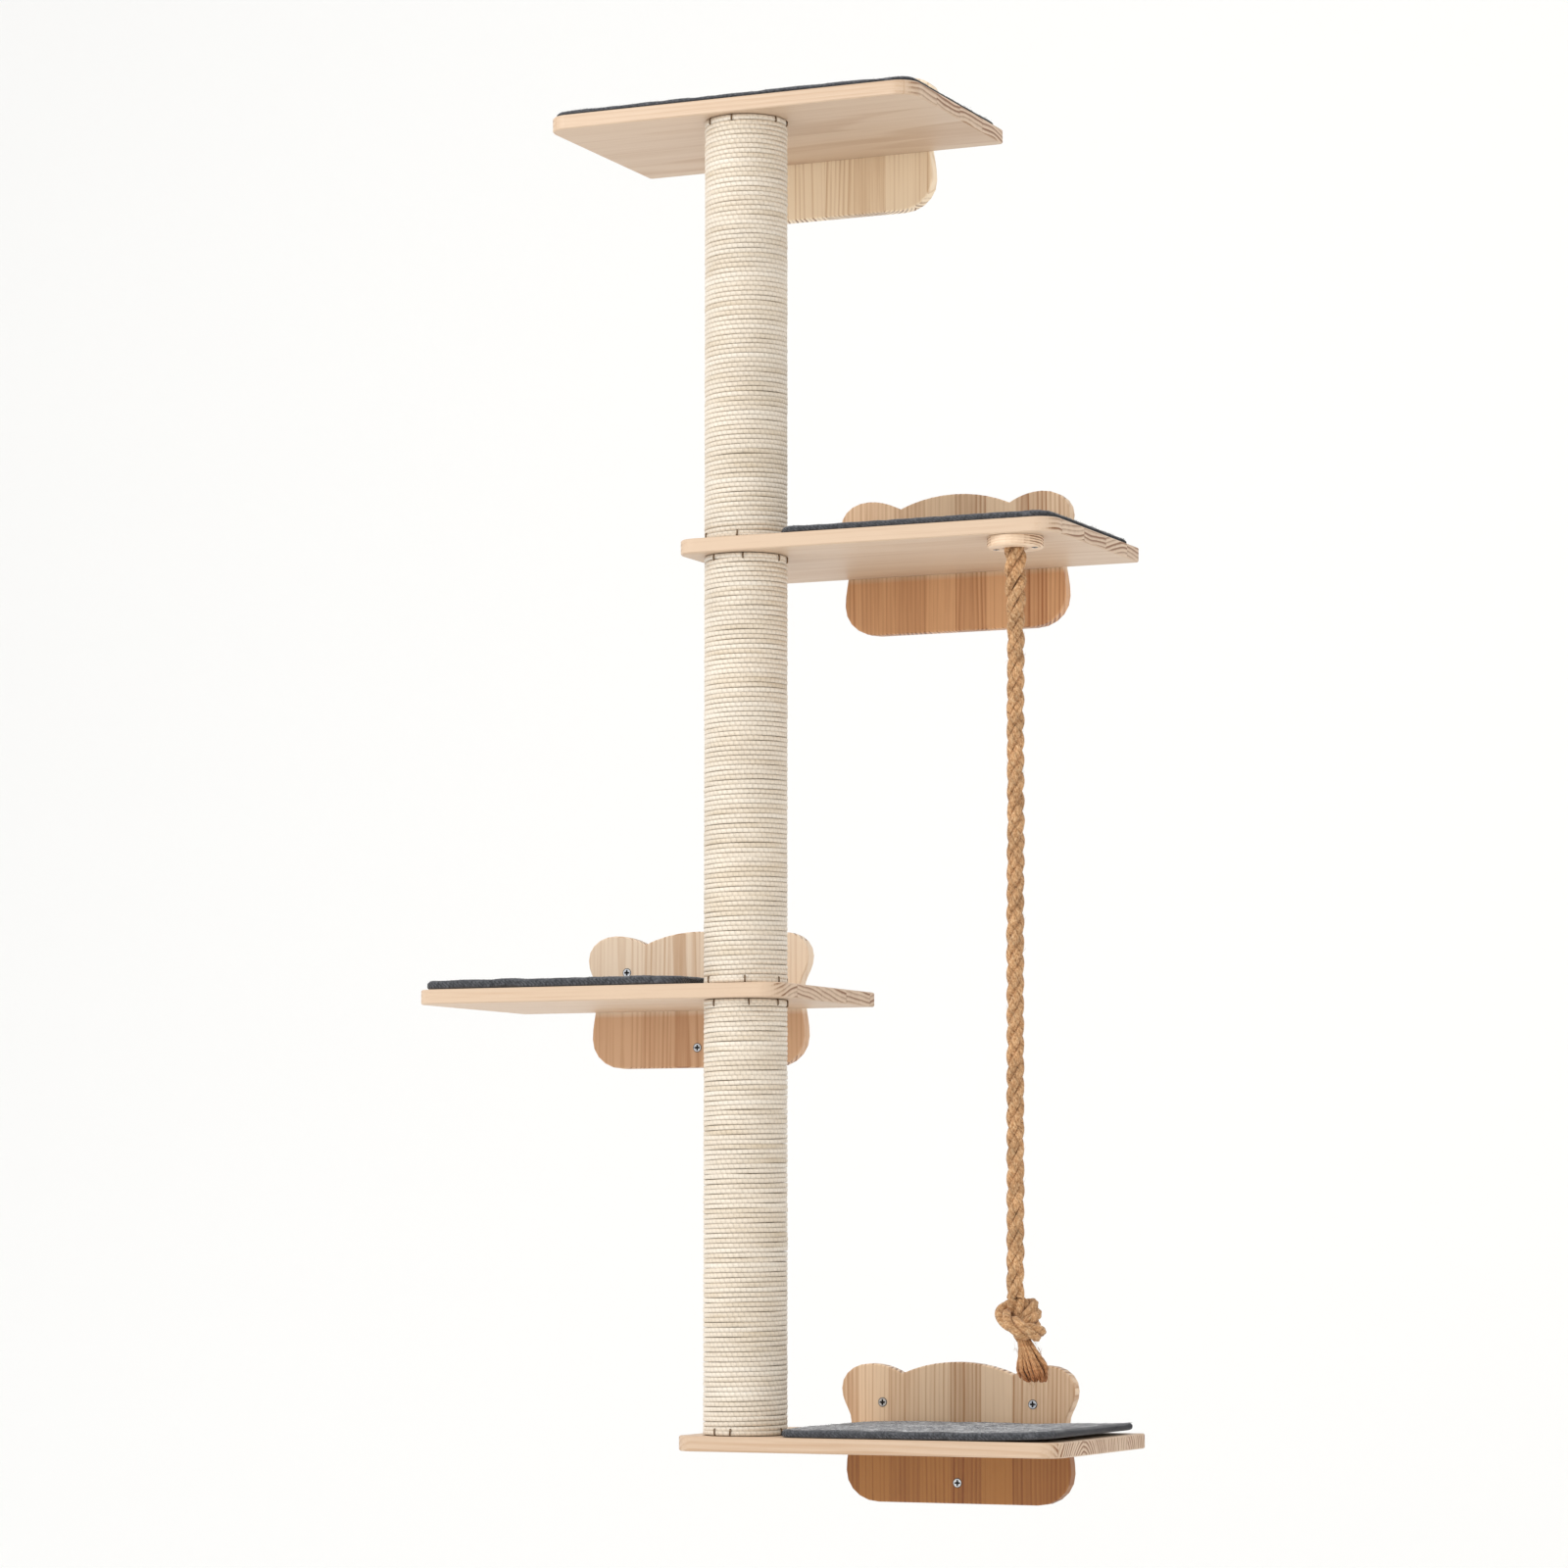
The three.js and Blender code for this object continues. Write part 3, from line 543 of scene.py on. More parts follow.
def make_rope():
    """The rope, then its knot and tassel, which are declared as the pieces on it."""
    jute = make_jute("jute", colour(122, 82, 48), colour(192, 147, 105), colour(230, 198, 156))
    brown_jute = make_jute("jute_yarns", colour(128, 82, 48), colour(200, 148, 102),
                           colour(240, 204, 158), darkened_below=TASSEL_DARKENING_HEIGHTS)
    route = np.array(ROPE_ROUTE_MM) * MM
    points, along = even_points(route, ROPE_STEP)
    in_disc = points[0] + np.array([[0, 0, 6.0], [0, 0, 4.0], [0, 0, 2.0]]) * MM
    drawn = np.vstack([in_disc, points])

    def radius_at(step):
        """The rope is slack and wider just below its disc."""
        return ROPE_RADIUS * (0.965 + 0.2 / (1 + math.exp((step - SLACK_LENGTH) / (6 * MM))))

    rope_grids = laid_strands(drawn, radius_at, 0.0)
    rope_grids.append(stray_fibres(points, ROPE_RADIUS, 520, 7 * MM, 11))
    rope_grids.append(stray_fibres(points[:40], ROPE_RADIUS * 1.08, 60, 7 * MM, 12))
    rope = grid_object("jute_rope", rope_grids, jute)
    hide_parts("hanging_rope", "rope_neck")

    knot_low, knot_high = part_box("rope_knot")
    top = points[-1] + np.array([0, 0, 1.0 * MM])
    tail = np.array([top[0] + TAIL_ASIDE, top[1], knot_low.z + 1 * MM])
    tail_way = np.array([TAIL_LEAN, 0.0, -1.0]) / math.hypot(TAIL_LEAN, 1.0)
    knot_points, _ = even_points(pull_knot(top, tail, tail_way)[::2], ROPE_STEP)
    knot_grids = laid_strands(knot_points, lambda step: ROPE_RADIUS * 0.98,
                              2 * math.pi * along[-1] / ROPE_LAY, taper=3)
    knot_grids.append(stray_fibres(knot_points, ROPE_RADIUS * 0.93, 150, 6 * MM, 13))
    knot = grid_object("jute_knot", knot_grids, jute)
    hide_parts("rope_knot")
    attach(knot, "rope")
    tassel = make_tassel(tail, tail_way, brown_jute)

    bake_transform(rope)


make_rope()

# ------------------------------------------------------------------ sisal posts
# Three paperboard tubes wound with natural sisal, 5 mm thick, turn against turn. The twisted rope is
# glued down and its first and last turns are held by bronzed wire staples.
SISAL_PITCH = 4.9 * MM
SISAL_RADIUS = 2.7 * MM
CORE_RADIUS = 37.5 * MM
WINDING_STEPS = 84                  # points of the winding in one turn
SISAL_SUNK = 0.25 * MM              # how far the rope is pulled in against the core
SISAL_PLIES = 4
SISAL_HAIRS = 260
SISAL_HAIR_RADIUS = 0.11 * MM
STAPLES_PER_END = 7
STAPLE_WIRE_RADIUS = 0.75 * MM
STAPLE_SUNK = 2.0 * MM              # a staple's legs end this far out from the core's surface
STAPLE_BEND = 0.5 * MM
LEVELS = ("bottom", "lower", "upper", "top")
POSTS = ("bottom", "middle", "top")


def make_sisal():
    """Pale sisal: three plies twisted round each other, silky fibres, and the odd browner length."""
    material, tree, shader = material_tree("sisal", {"Roughness": 0.45, "Sheen Weight": 0.15,
                                                     "Sheen Roughness": 0.4})
    uv = put(tree, "ShaderNodeUVMap", uv_map="across_and_along")
    spun = put(tree, "ShaderNodeGroup", {"Along": uv.outputs["UV"], "Ply Length": 5.4 * MM,
                                         "Ply Slant": 1.0, "Fibre Size": 1.0}, node_tree=SPUN_FIBRE)
    place = put(tree, "ShaderNodeTexCoord").outputs["Object"]
    lengths = put(tree, "ShaderNodeMapping", {"Vector": uv.outputs["UV"], "Scale": (0.6, 7.0, 1.0)})
    base = coloured(tree, mottling(tree, lengths.outputs["Vector"], 1.0, 4.0, 0.65),
                    (0.28, colour(210, 193, 168)), (0.5, colour(228, 215, 197)),
                    (0.75, colour(238, 229, 215)))
    stain_tone = remapped(tree, mottling(tree, place, 14.0, 2.0), 0.3, 0.7, 0.94, 1.04)
    fibre_tone = remapped(tree, spun.outputs["Fibres"], 0.25, 0.75, 0.85, 1.1)
    # Painted shade: the grooves between the plies are darkened, to 0.86 at their deepest.
    groove_painted_shade = remapped(tree, spun.outputs["Groove"], 0.0, 1.0, 1.0, 0.86)
    maths = maths_in(tree)
    tone = maths("MULTIPLY", maths("MULTIPLY", stain_tone, fibre_tone), groove_painted_shade)
    finish_surface(tree, shader, toned(tree, base, tone), spun.outputs["Height"], 0.8 * MM, strength=0.7)
    return material


def dress(node, material):
    """Gives a CAD node this material in place of its own."""
    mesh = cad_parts[node].data
    mesh.materials.clear()
    mesh.materials.append(material)


def make_bronze():
    """Bronzed staple wire, dull, a little darker where it is scratched."""
    material, tree, shader = material_tree("bronzed_wire", {"Metallic": 0.8, "Roughness": 0.4})
    place = put(tree, "ShaderNodeTexCoord").outputs["Object"]
    finish_surface(tree, shader, coloured(tree, mottling(tree, place, 900.0, 2.0),
                                          (0.0, colour(78, 58, 40)), (1.0, colour(138, 112, 84))))
    return material


def wind_post(post, material, seed):
    """One post's sisal, wound from end to end a little unevenly; its first and last turns lie level."""
    low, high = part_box(f"{post}_post_sisal")
    rng = np.random.default_rng(seed)
    turns = (high.z - low.z - 2 * SISAL_RADIUS) / SISAL_PITCH + 2
    count = int(turns * WINDING_STEPS)
    turned = np.linspace(0, turns, count)
    angle = turned * 2 * math.pi + rng.uniform(0, 2 * math.pi)
    rise = np.clip((turned - 1) / (turns - 2), 0, 1)
    height = low.z + SISAL_RADIUS + rise * (high.z - low.z - 2 * SISAL_RADIUS)
    share, knots = np.linspace(0, 1, count), np.linspace(0, 1, count // 9)

    def uneven(size):
        return np.interp(share, knots, rng.normal(0, size, len(knots)))

    drift, proud = uneven(0.16 * MM), uneven(0.14 * MM)
    end_guard = np.clip(np.minimum(np.arange(count), np.arange(count)[::-1]) / (2 * WINDING_STEPS), 0, 1)
    reach = CORE_RADIUS + SISAL_RADIUS - SISAL_SUNK + proud * end_guard
    centre = np.stack([POST_AXIS.x + np.cos(angle) * reach, POST_AXIS.y + np.sin(angle) * reach,
                       height + drift * end_guard], 1)
    thickness = SISAL_RADIUS * (1 + uneven(0.03))
    thickness[[0, -1]] = 0.01 * MM
    out = np.stack([np.cos(angle), np.sin(angle), np.zeros(count)], 1)
    up = np.broadcast_to([0.0, 0.0, 1.0], (count, 3))
    tubes = [tube(centre, thickness, 8, across=(out, up), ridges=SISAL_PLIES, ridge_depth=-0.1)]
    root = rng.integers(WINDING_STEPS, count - WINDING_STEPS, SISAL_HAIRS)
    spread = rng.uniform(-0.9, 0.9, SISAL_HAIRS)
    roots = centre[root] + out[root] * (SISAL_RADIUS * 0.8 * np.cos(spread))[:, None]
    roots = roots + up[root] * (SISAL_RADIUS * np.sin(spread))[:, None]
    along = np.stack([-np.sin(angle), np.cos(angle), np.zeros(count)], 1)[root]
    ways = (along * rng.choice([-1, 1], SISAL_HAIRS)[:, None]
            + out[root] * rng.uniform(0.15, 0.6, SISAL_HAIRS)[:, None])
    ways = ways + rng.normal(0, 0.35, (SISAL_HAIRS, 3))
    tubes.append(hairs(roots, ways, rng.uniform(3, 9, SISAL_HAIRS) * MM, SISAL_HAIR_RADIUS,
                       -out[root] * 0.5))
    winding = grid_object(f"{post}_sisal_winding", tubes, material)
    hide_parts(f"{post}_post_sisal")
    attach(winding, "tree")


def staple_post(post, material, seed):
    """Each staple crosses the outermost turn and bites into the one behind it."""
    low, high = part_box(f"{post}_post_sisal")
    rng = np.random.default_rng(seed)
    wires = []
    for edge, inward in ((low.z, 1), (high.z, -1)):
        for number in range(STAPLES_PER_END):
            turn = (number + rng.uniform(0.1, 0.9)) / STAPLES_PER_END * 2 * math.pi
            tip = edge + inward * rng.uniform(0.9, 1.6) * MM
            foot = edge + inward * rng.uniform(5.6, 7.2) * MM
            lean = rng.normal(0, 0.012)
            out = np.array([math.cos(turn), math.sin(turn), 0.0])
            side = np.array([-math.sin(turn), math.cos(turn), 0.0])
            near, far = CORE_RADIUS + STAPLE_SUNK, CORE_RADIUS + 2 * SISAL_RADIUS + 0.25 * MM
            stops = [(near, tip), (far - 0.4 * MM, tip), (far, tip + inward * STAPLE_BEND),
                     (far, foot - inward * STAPLE_BEND), (far - 0.4 * MM, foot), (near, foot)]
            axis = np.array([POST_AXIS.x, POST_AXIS.y, 0.0])
            line = np.array([axis + out * reach + side * lean * (z - tip) * 10 + np.array([0, 0, z])
                             for reach, z in stops])
            wires.append(tube(line, np.full(len(line), STAPLE_WIRE_RADIUS), 6))
    staples = grid_object(f"{post}_staples", wires, material)
    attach(staples, "tree")


def make_paperboard():
    """Grey-brown board wound on the bias, with the faint spiral joint of its strips."""
    material, tree, shader = material_tree("paperboard", {"Roughness": 0.9})
    place = put(tree, "ShaderNodeTexCoord").outputs["Object"]
    fibres = mottling(tree, place, 220.0, 5.0)
    spiral = put(tree, "ShaderNodeTexWave", {"Vector": place, "Scale": 6.0, "Distortion": 0.4},
                 bands_direction="DIAGONAL")
    joint = remapped(tree, spiral.outputs["Fac"], 0.0, 0.08, 0.7, 1.0)
    base = coloured(tree, fibres, (0.0, colour(120, 98, 74)), (1.0, colour(190, 165, 132)))
    finish_surface(tree, shader, toned(tree, base, joint), fibres, 0.2 * MM)
    return material


def make_posts():
    """The winding, the staples and the tube of each post."""
    sisal, bronze, paperboard = make_sisal(), make_bronze(), make_paperboard()
    for number, post in enumerate(POSTS):
        wind_post(post, sisal, 31 + number)
        staple_post(post, bronze, 41 + number)
        dress(f"{post}_post_core", paperboard)


make_posts()

# ------------------------------------------------------------------ pine shelves and wall plates
# Shelves and bear's-head plates are sawn from edge-glued pine, 15 mm thick. Their edges are rounded
# over with a router and the wood has one thin coat of clear satin lacquer.
SHELF_ARRIS = 2.6 * MM
PLATE_ARRIS = 1.0 * MM
DISC_ARRIS = 0.8 * MM
# Painted shade under a shelf fades in over this height below it.
PAINTED_SHADE_FADE = 6.0 * MM
FLAT_WITHIN = math.radians(0.6)     # faces nearer to one plane than this count as one face
SHELF_COLOURS = (colour(207, 181, 155), colour(172, 132, 96))
DISC_COLOURS = (colour(232, 206, 178), colour(196, 158, 122))
PLUG_COLOURS = (colour(226, 199, 165), colour(184, 142, 100))
END_GRAIN_COLOUR = colour(132, 92, 62)
PLATE_COLOURS_AND_PAINTED_LIGHT = {                   # pale wood and latewood, partly painted light: the top plate and the lower one are made paler; and how deep the painted shade below the shelf is
    "bottom": (colour(224, 195, 163), colour(168, 120, 78), (0.5, 0.29, 0.1)),
    "lower": (colour(228, 205, 179), colour(184, 141, 101), (0.84, 0.66, 0.52)),
    "upper": (colour(218, 187, 153), colour(160, 114, 76), (0.96, 0.74, 0.56)),
    "top": (colour(243, 221, 190), colour(190, 146, 98), (1.0, 1.0, 1.0)),
}


def make_pine_grain():
    """Solid wood: X runs along the grain, Y across the boards and Z through them, all in metres."""
    group, given, result = effect_group(
        "pine_grain",
        [("Place", "NodeSocketVector", None), ("Stave Width", "NodeSocketFloat", 0.05),
         ("Ring Width", "NodeSocketFloat", 0.003), ("Batch", "NodeSocketFloat", 0.0),
         ("Ring Strength", "NodeSocketFloat", 0.5), ("Stave Strength", "NodeSocketFloat", 0.3),
         ("End Grain", "NodeSocketFloat", 0.0), ("Streaks", "NodeSocketFloat", 0.9),
         ("Pale", "NodeSocketColor", None), ("Dark", "NodeSocketColor", None)],
        [("Color", "NodeSocketColor"), ("Height", "NodeSocketFloat")])
    maths = maths_in(group)
    part = put(group, "ShaderNodeSeparateXYZ", {"Vector": given.outputs["Place"]})
    across = maths("DIVIDE", part.outputs["Y"], given.outputs["Stave Width"])
    shifted = maths("ADD", across, maths("MULTIPLY", given.outputs["Batch"], 0.37))
    stave = maths("FLOOR", shifted)
    seed = maths("ADD", stave, maths("MULTIPLY", given.outputs["Batch"], 17.3))
    chance = put(group, "ShaderNodeTexWhiteNoise", {"W": seed}, noise_dimensions="1D")
    draw = put(group, "ShaderNodeSeparateColor", {"Color": chance.outputs["Color"]})
    in_stave = maths("MULTIPLY", maths("SUBTRACT", maths("FRACT", shifted), 0.5),
                     given.outputs["Stave Width"])
    heart_side = maths("MULTIPLY_ADD", draw.outputs["Red"], 0.26, -0.13)
    heart_depth = maths("MULTIPLY_ADD", draw.outputs["Green"], 0.03, 0.012)
    from_heart = put(group, "ShaderNodeCombineXYZ",
                     {"X": maths("ADD", in_stave, heart_side),
                      "Y": maths("ADD", part.outputs["Z"], heart_depth)})
    reach = put(group, "ShaderNodeVectorMath", {0: from_heart.outputs["Vector"]}, operation="LENGTH")

    def stretched(*scale):
        return put(group, "ShaderNodeMapping", {"Vector": given.outputs["Place"],
                                                "Scale": scale}).outputs["Vector"]

    own_place = put(group, "ShaderNodeVectorMath",
                    {0: stretched(1.6, 9.0, 9.0),
                     1: put(group, "ShaderNodeCombineXYZ", {"X": seed}).outputs["Vector"]},
                    operation="ADD")
    wander = mottling(group, own_place.outputs["Vector"], 1.0, 2.0, 0.45)
    wandered = maths("MULTIPLY_ADD", wander, 0.026, reach.outputs["Value"])
    ring = maths("DIVIDE", wandered, given.outputs["Ring Width"])
    phase = maths("FRACT", ring)
    late = remapped(group, phase, 0.25, 0.88, interpolation_type="SMOOTHSTEP")
    back = remapped(group, phase, 0.9, 1.0, 1.0, 0.0)
    year = put(group, "ShaderNodeTexWhiteNoise", {"W": maths("FLOOR", ring)}, noise_dimensions="1D")
    latewood = maths("MULTIPLY", maths("MULTIPLY", late, back),
                     maths("MULTIPLY_ADD", year.outputs["Value"], 0.7, 0.3))
    fibres = mottling(group, stretched(14.0, 900.0, 900.0), 1.0, 3.0, 0.6)
    streaks = mottling(group, stretched(5.0, 130.0, 130.0), 1.0, 4.0, 0.55)
    end = given.outputs["End Grain"]
    clear = maths("MULTIPLY_ADD", maths("FRACT", maths("MULTIPLY", draw.outputs["Red"], 7.3)), 1.1, 0.35)
    mix = maths("MULTIPLY", latewood, maths("MULTIPLY_ADD", given.outputs["Ring Strength"], clear,
                                            maths("MULTIPLY", end, 1.3)))
    mix = maths("MULTIPLY_ADD", maths("SUBTRACT", draw.outputs["Blue"], 0.4),
                given.outputs["Stave Strength"], mix)
    mix = maths("MULTIPLY_ADD", maths("SUBTRACT", streaks, 0.45), given.outputs["Streaks"], mix)
    mix = maths("MULTIPLY_ADD", maths("SUBTRACT", fibres, 0.5), 0.7, mix)
    from_middle = maths("ABSOLUTE", maths("SUBTRACT", maths("FRACT", shifted), 0.5))
    seam = remapped(group, from_middle, 0.488, 0.5, 0.0, 0.35)
    mix = put(group, "ShaderNodeClamp", {"Value": maths("ADD", mix, seam)})
    deep = put(group, "ShaderNodeMix", {"Factor": end, 6: given.outputs["Dark"], 7: END_GRAIN_COLOUR},
               data_type="RGBA")
    tint = put(group, "ShaderNodeMix", {"Factor": mix.outputs["Result"], 6: given.outputs["Pale"],
                                        7: deep.outputs[2]}, data_type="RGBA")
    height = maths("MULTIPLY_ADD", fibres, 0.6, maths("MULTIPLY", latewood, 0.5))
    group.links.new(tint.outputs[2], result.inputs["Color"])
    group.links.new(height, result.inputs["Height"])
    return group


PINE_GRAIN = make_pine_grain()


def make_pine(name, turn, stave, ring, batch, strengths, pale, dark, roughness=0.5, coat=0.12,
              painted_shade_below=None):
    """A pine material; turn carries the grain, board and thickness directions onto X, Y and Z.

    strengths are those of rings, staves and streaks; the last argument is a height and the tint of painted
    shade below it."""
    material, tree, shader = material_tree(name, {"Coat Weight": coat, "Coat Roughness": 0.35})
    maths = maths_in(tree)
    place = put(tree, "ShaderNodeTexCoord")
    part = put(tree, "ShaderNodeSeparateXYZ", {"Vector": place.outputs["Object"]})
    turned = put(tree, "ShaderNodeCombineXYZ", {"X": part.outputs[turn[0]], "Y": part.outputs[turn[1]],
                                                "Z": part.outputs[turn[2]]})
    facing = put(tree, "ShaderNodeSeparateXYZ", {"Vector": place.outputs["Normal"]})
    end_grain = remapped(tree, maths("ABSOLUTE", facing.outputs[turn[0]]), 0.55, 0.9,
                         interpolation_type="SMOOTHSTEP")
    grain = put(tree, "ShaderNodeGroup",
                {"Place": turned.outputs["Vector"], "Stave Width": stave, "Ring Width": ring,
                 "Batch": batch, "Ring Strength": strengths[0], "Stave Strength": strengths[1],
                 "Streaks": strengths[2], "End Grain": end_grain, "Pale": pale, "Dark": dark},
                node_tree=PINE_GRAIN)
    wood = grain.outputs["Color"]
    # Painted shade under the shelf: below the given height the wood is multiplied by the tint, except on
    # faces turned to the wall.
    if painted_shade_below:
        height, tint = painted_shade_below
        below = remapped(tree, part.outputs["Z"], height, height - PAINTED_SHADE_FADE)
        from_room = maths("LESS_THAN", facing.outputs["Y"], 0.5)
        wood = toned(tree, wood, (*tint, 1.0), share=maths("MULTIPLY", below, from_room))
    finish_surface(tree, shader, wood, grain.outputs["Height"], 0.15 * MM, strength=0.35)
    dull = remapped(tree, grain.outputs["Height"], 0.0, 1.0, roughness - 0.08, roughness + 0.12)
    tree.links.new(dull, shader.inputs["Roughness"])
    return material


def round_edges(piece, width):
    """Joins the flat faces' triangles, then rounds the edges between faces."""
    flat = piece.modifiers.new("flat_faces", "DECIMATE")
    flat.decimate_type, flat.angle_limit = "DISSOLVE", FLAT_WITHIN
    edge = piece.modifiers.new("rounded_edges", "BEVEL")
    edge.width, edge.segments, edge.limit_method = width, 3, "ANGLE"
    edge.angle_limit, edge.harden_normals = math.radians(28), True
    piece.data.polygons.foreach_set("use_smooth", [True] * len(piece.data.polygons))


def make_shelf(level, material):
    """The shelf again, its long edges weighted so that they are rounded more than its holes."""
    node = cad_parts[f"{level}_shelf"]
    mesh = bmesh.new()
    mesh.from_mesh(node.data)
    bmesh.ops.dissolve_limit(mesh, angle_limit=FLAT_WITHIN, verts=mesh.verts[:], edges=mesh.edges[:])
    weight = mesh.edges.layers.float.new("bevel_weight_edge")
    for edge in mesh.edges:
        start, end = (vertex.co for vertex in edge.verts)
        level_edge = abs(start.z - end.z) < 0.01 * MM and edge.calc_length() > 4 * MM
        if level_edge and edge.calc_face_angle(0.0) > math.radians(60):
            edge[weight] = 1.0
    data = bpy.data.meshes.new(f"{level}_board")
    mesh.to_mesh(data)
    mesh.free()
    data.polygons.foreach_set("use_smooth", [True] * len(data.polygons))
    data.materials.append(material)
    board = bpy.data.objects.new(f"{level}_board", data)
    scene.collection.objects.link(board)
    arris = board.modifiers.new("routed_edge", "BEVEL")
    arris.width, arris.segments = SHELF_ARRIS, 5
    arris.limit_method, arris.harden_normals = "WEIGHT", True
    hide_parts(f"{level}_shelf")
    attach(board, "tree")


def make_boards():
    """Every board, plate and turned piece, each cut from wood of its own batch; the plates' per-level
    colours also hold painted light, and painted shade below each shelf.
    """
    for batch, level in enumerate(LEVELS):
        make_shelf(level, make_pine(f"{level}_shelf_pine", "XYZ", 0.062, 0.0048, batch + 0.3,
                                    (0.3, 0.16, 0.6), *SHELF_COLOURS))
        pale, dark, shelf_shade_tint = PLATE_COLOURS_AND_PAINTED_LIGHT[level]
        shelf_low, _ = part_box(f"{level}_shelf")
        # Below its shelf each plate gets painted shade: the wood is darkened and warmed there.
        plate_pine = make_pine(f"{level}_plate_pine", "ZXY", 0.034, 0.0046, batch + 0.6,
                               (0.55, 0.55, 0.7), pale, dark, painted_shade_below=(shelf_low.z, shelf_shade_tint))
        dress(f"{level}_wall_plate", plate_pine)
        round_edges(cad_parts[f"{level}_wall_plate"], PLATE_ARRIS)
    dress("rope_disc", make_pine("turned_pine", "XYZ", 0.2, 0.0028, 5.0, (0.4, 0.1, 0.9),
                                 *DISC_COLOURS, roughness=0.55))
    round_edges(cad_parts["rope_disc"], DISC_ARRIS)
    sawn_pine = make_pine("sawn_pine", "ZXY", 0.2, 0.003, 7.0, (0.5, 0.1, 0.9), *PLUG_COLOURS,
                          roughness=0.75, coat=0.0)
    for post in POSTS:
        for side in ("lower", "upper"):
            dress(f"{post}_post_{side}_plug", sawn_pine)


make_boards()

# ------------------------------------------------------------------ pads
# A removable mat lies on every shelf: charcoal cloth round a thin sheet of foam, with a grey flecked
# plush top, overcast along its edge and held down by touch tape.
PAD_POINTS = 240                    # points round a pad's outline
PAD_RINGS = 22                      # rings from its edge to its middle
PAD_CORNER = 18.0 * MM
PAD_CORNER_STEPS = 24
PAD_EDGE = 3.2 * MM                 # radius of its top edge
PAD_EDGE_STEPS = 5
PAD_FOOT = 0.1 * MM                 # a pad lies this far over its shelf
PAD_SIDE_START = 0.8 * MM           # the side rises from here
PAD_SIDE_INSET = 0.3 * MM
PAD_SIDE_BULGE = 0.35 * MM
PAD_BASE_INSET = 1.2 * MM
CURL_LENGTH = 0.1                   # an end that curls up does so over this length
PAD_HAIRS = 3800
PAD_HAIR_RADIUS = 0.13 * MM
THREAD_RADIUS = 0.32 * MM
CLOTH_FRAMES = 20
COVER_ROOM = 1.5 * MM               # the loose cover moves at most this far over its foam
PAD_WEAR = {                        # share of the new thickness, waviness, and how far an end curls up
    "bottom": (1.0, 1.0, 3.5 * MM),
    "lower": (1.12, 1.8, 0.0),
    "upper": (0.88, 1.2, 0.0),
    "top": (0.68, 0.6, 0.0),
}


def make_plush():
    """Flecked plush: charcoal and pale fibres mixed, darker where the pile turns over the edge."""
    material, tree, shader = material_tree("flecked_plush", {"Roughness": 0.95, "Sheen Weight": 0.25,
                                                             "Specular IOR Level": 0.15})
    maths = maths_in(tree)
    place = put(tree, "ShaderNodeTexCoord").outputs["Object"]
    drawn_out = put(tree, "ShaderNodeMapping", {"Vector": place, "Scale": (60.0, 170.0, 300.0)})
    flecks = mottling(tree, place, 300.0, 4.0, 0.75)
    wisps = mottling(tree, drawn_out.outputs["Vector"], 1.0, 5.0, 0.7, 0.8)
    plush = coloured(tree, maths("MULTIPLY", maths("ADD", flecks, wisps), 0.5),
                     (0.42, colour(52, 54, 60)), (0.5, colour(110, 112, 118)),
                     (0.59, colour(216, 218, 221)))
    edge_cloth = coloured(tree, flecks, (0.3, colour(50, 51, 55)), (0.75, colour(106, 108, 113)))
    uv = put(tree, "ShaderNodeUVMap", uv_map="in_from_edge")
    inward = put(tree, "ShaderNodeSeparateXYZ", {"Vector": uv.outputs["UV"]})
    on_top = remapped(tree, inward.outputs["Y"], 0.002, 0.009, interpolation_type="SMOOTHSTEP")
    cloth = put(tree, "ShaderNodeMix", {"Factor": on_top, 6: edge_cloth, 7: plush}, data_type="RGBA")
    finish_surface(tree, shader, cloth.outputs[2], flecks, 0.8 * MM, strength=0.9)
    return material


def make_edge_cloth():
    """Plain charcoal cloth and thread, woven fine."""
    material, tree, shader = material_tree("charcoal_cloth", {"Roughness": 0.92})
    weave = mottling(tree, put(tree, "ShaderNodeTexCoord").outputs["Object"], 700.0, 3.0)
    base = coloured(tree, weave, (0.0, colour(30, 31, 34)), (1.0, colour(74, 76, 80)))
    finish_surface(tree, shader, base, weave, 0.3 * MM)
    return material


def pad_outline(low, high, radius, count):
    """Points and outward directions round a rectangle with round corners."""
    middle = (np.array(low[:2]) + np.array(high[:2])) / 2
    half = (np.array(high[:2]) - np.array(low[:2])) / 2 - radius
    fine = []
    for corner, start in (((1, -1), -90), ((1, 1), 0), ((-1, 1), 90), ((-1, -1), 180)):
        for step in range(PAD_CORNER_STEPS + 1):
            turn = math.radians(start + step / PAD_CORNER_STEPS * 90)
            out = np.array([math.cos(turn), math.sin(turn)])
            fine.append(np.concatenate([middle + half * corner + out * radius, out]))
    fine = np.array(fine + [fine[0]])
    lengths = length_along(fine[:, :2])
    wanted = np.linspace(0, lengths[-1], count, endpoint=False)
    even = np.stack([np.interp(wanted, lengths, fine[:, axis]) for axis in range(4)], 1)
    return even[:, :2], unit(even[:, 2:]), middle


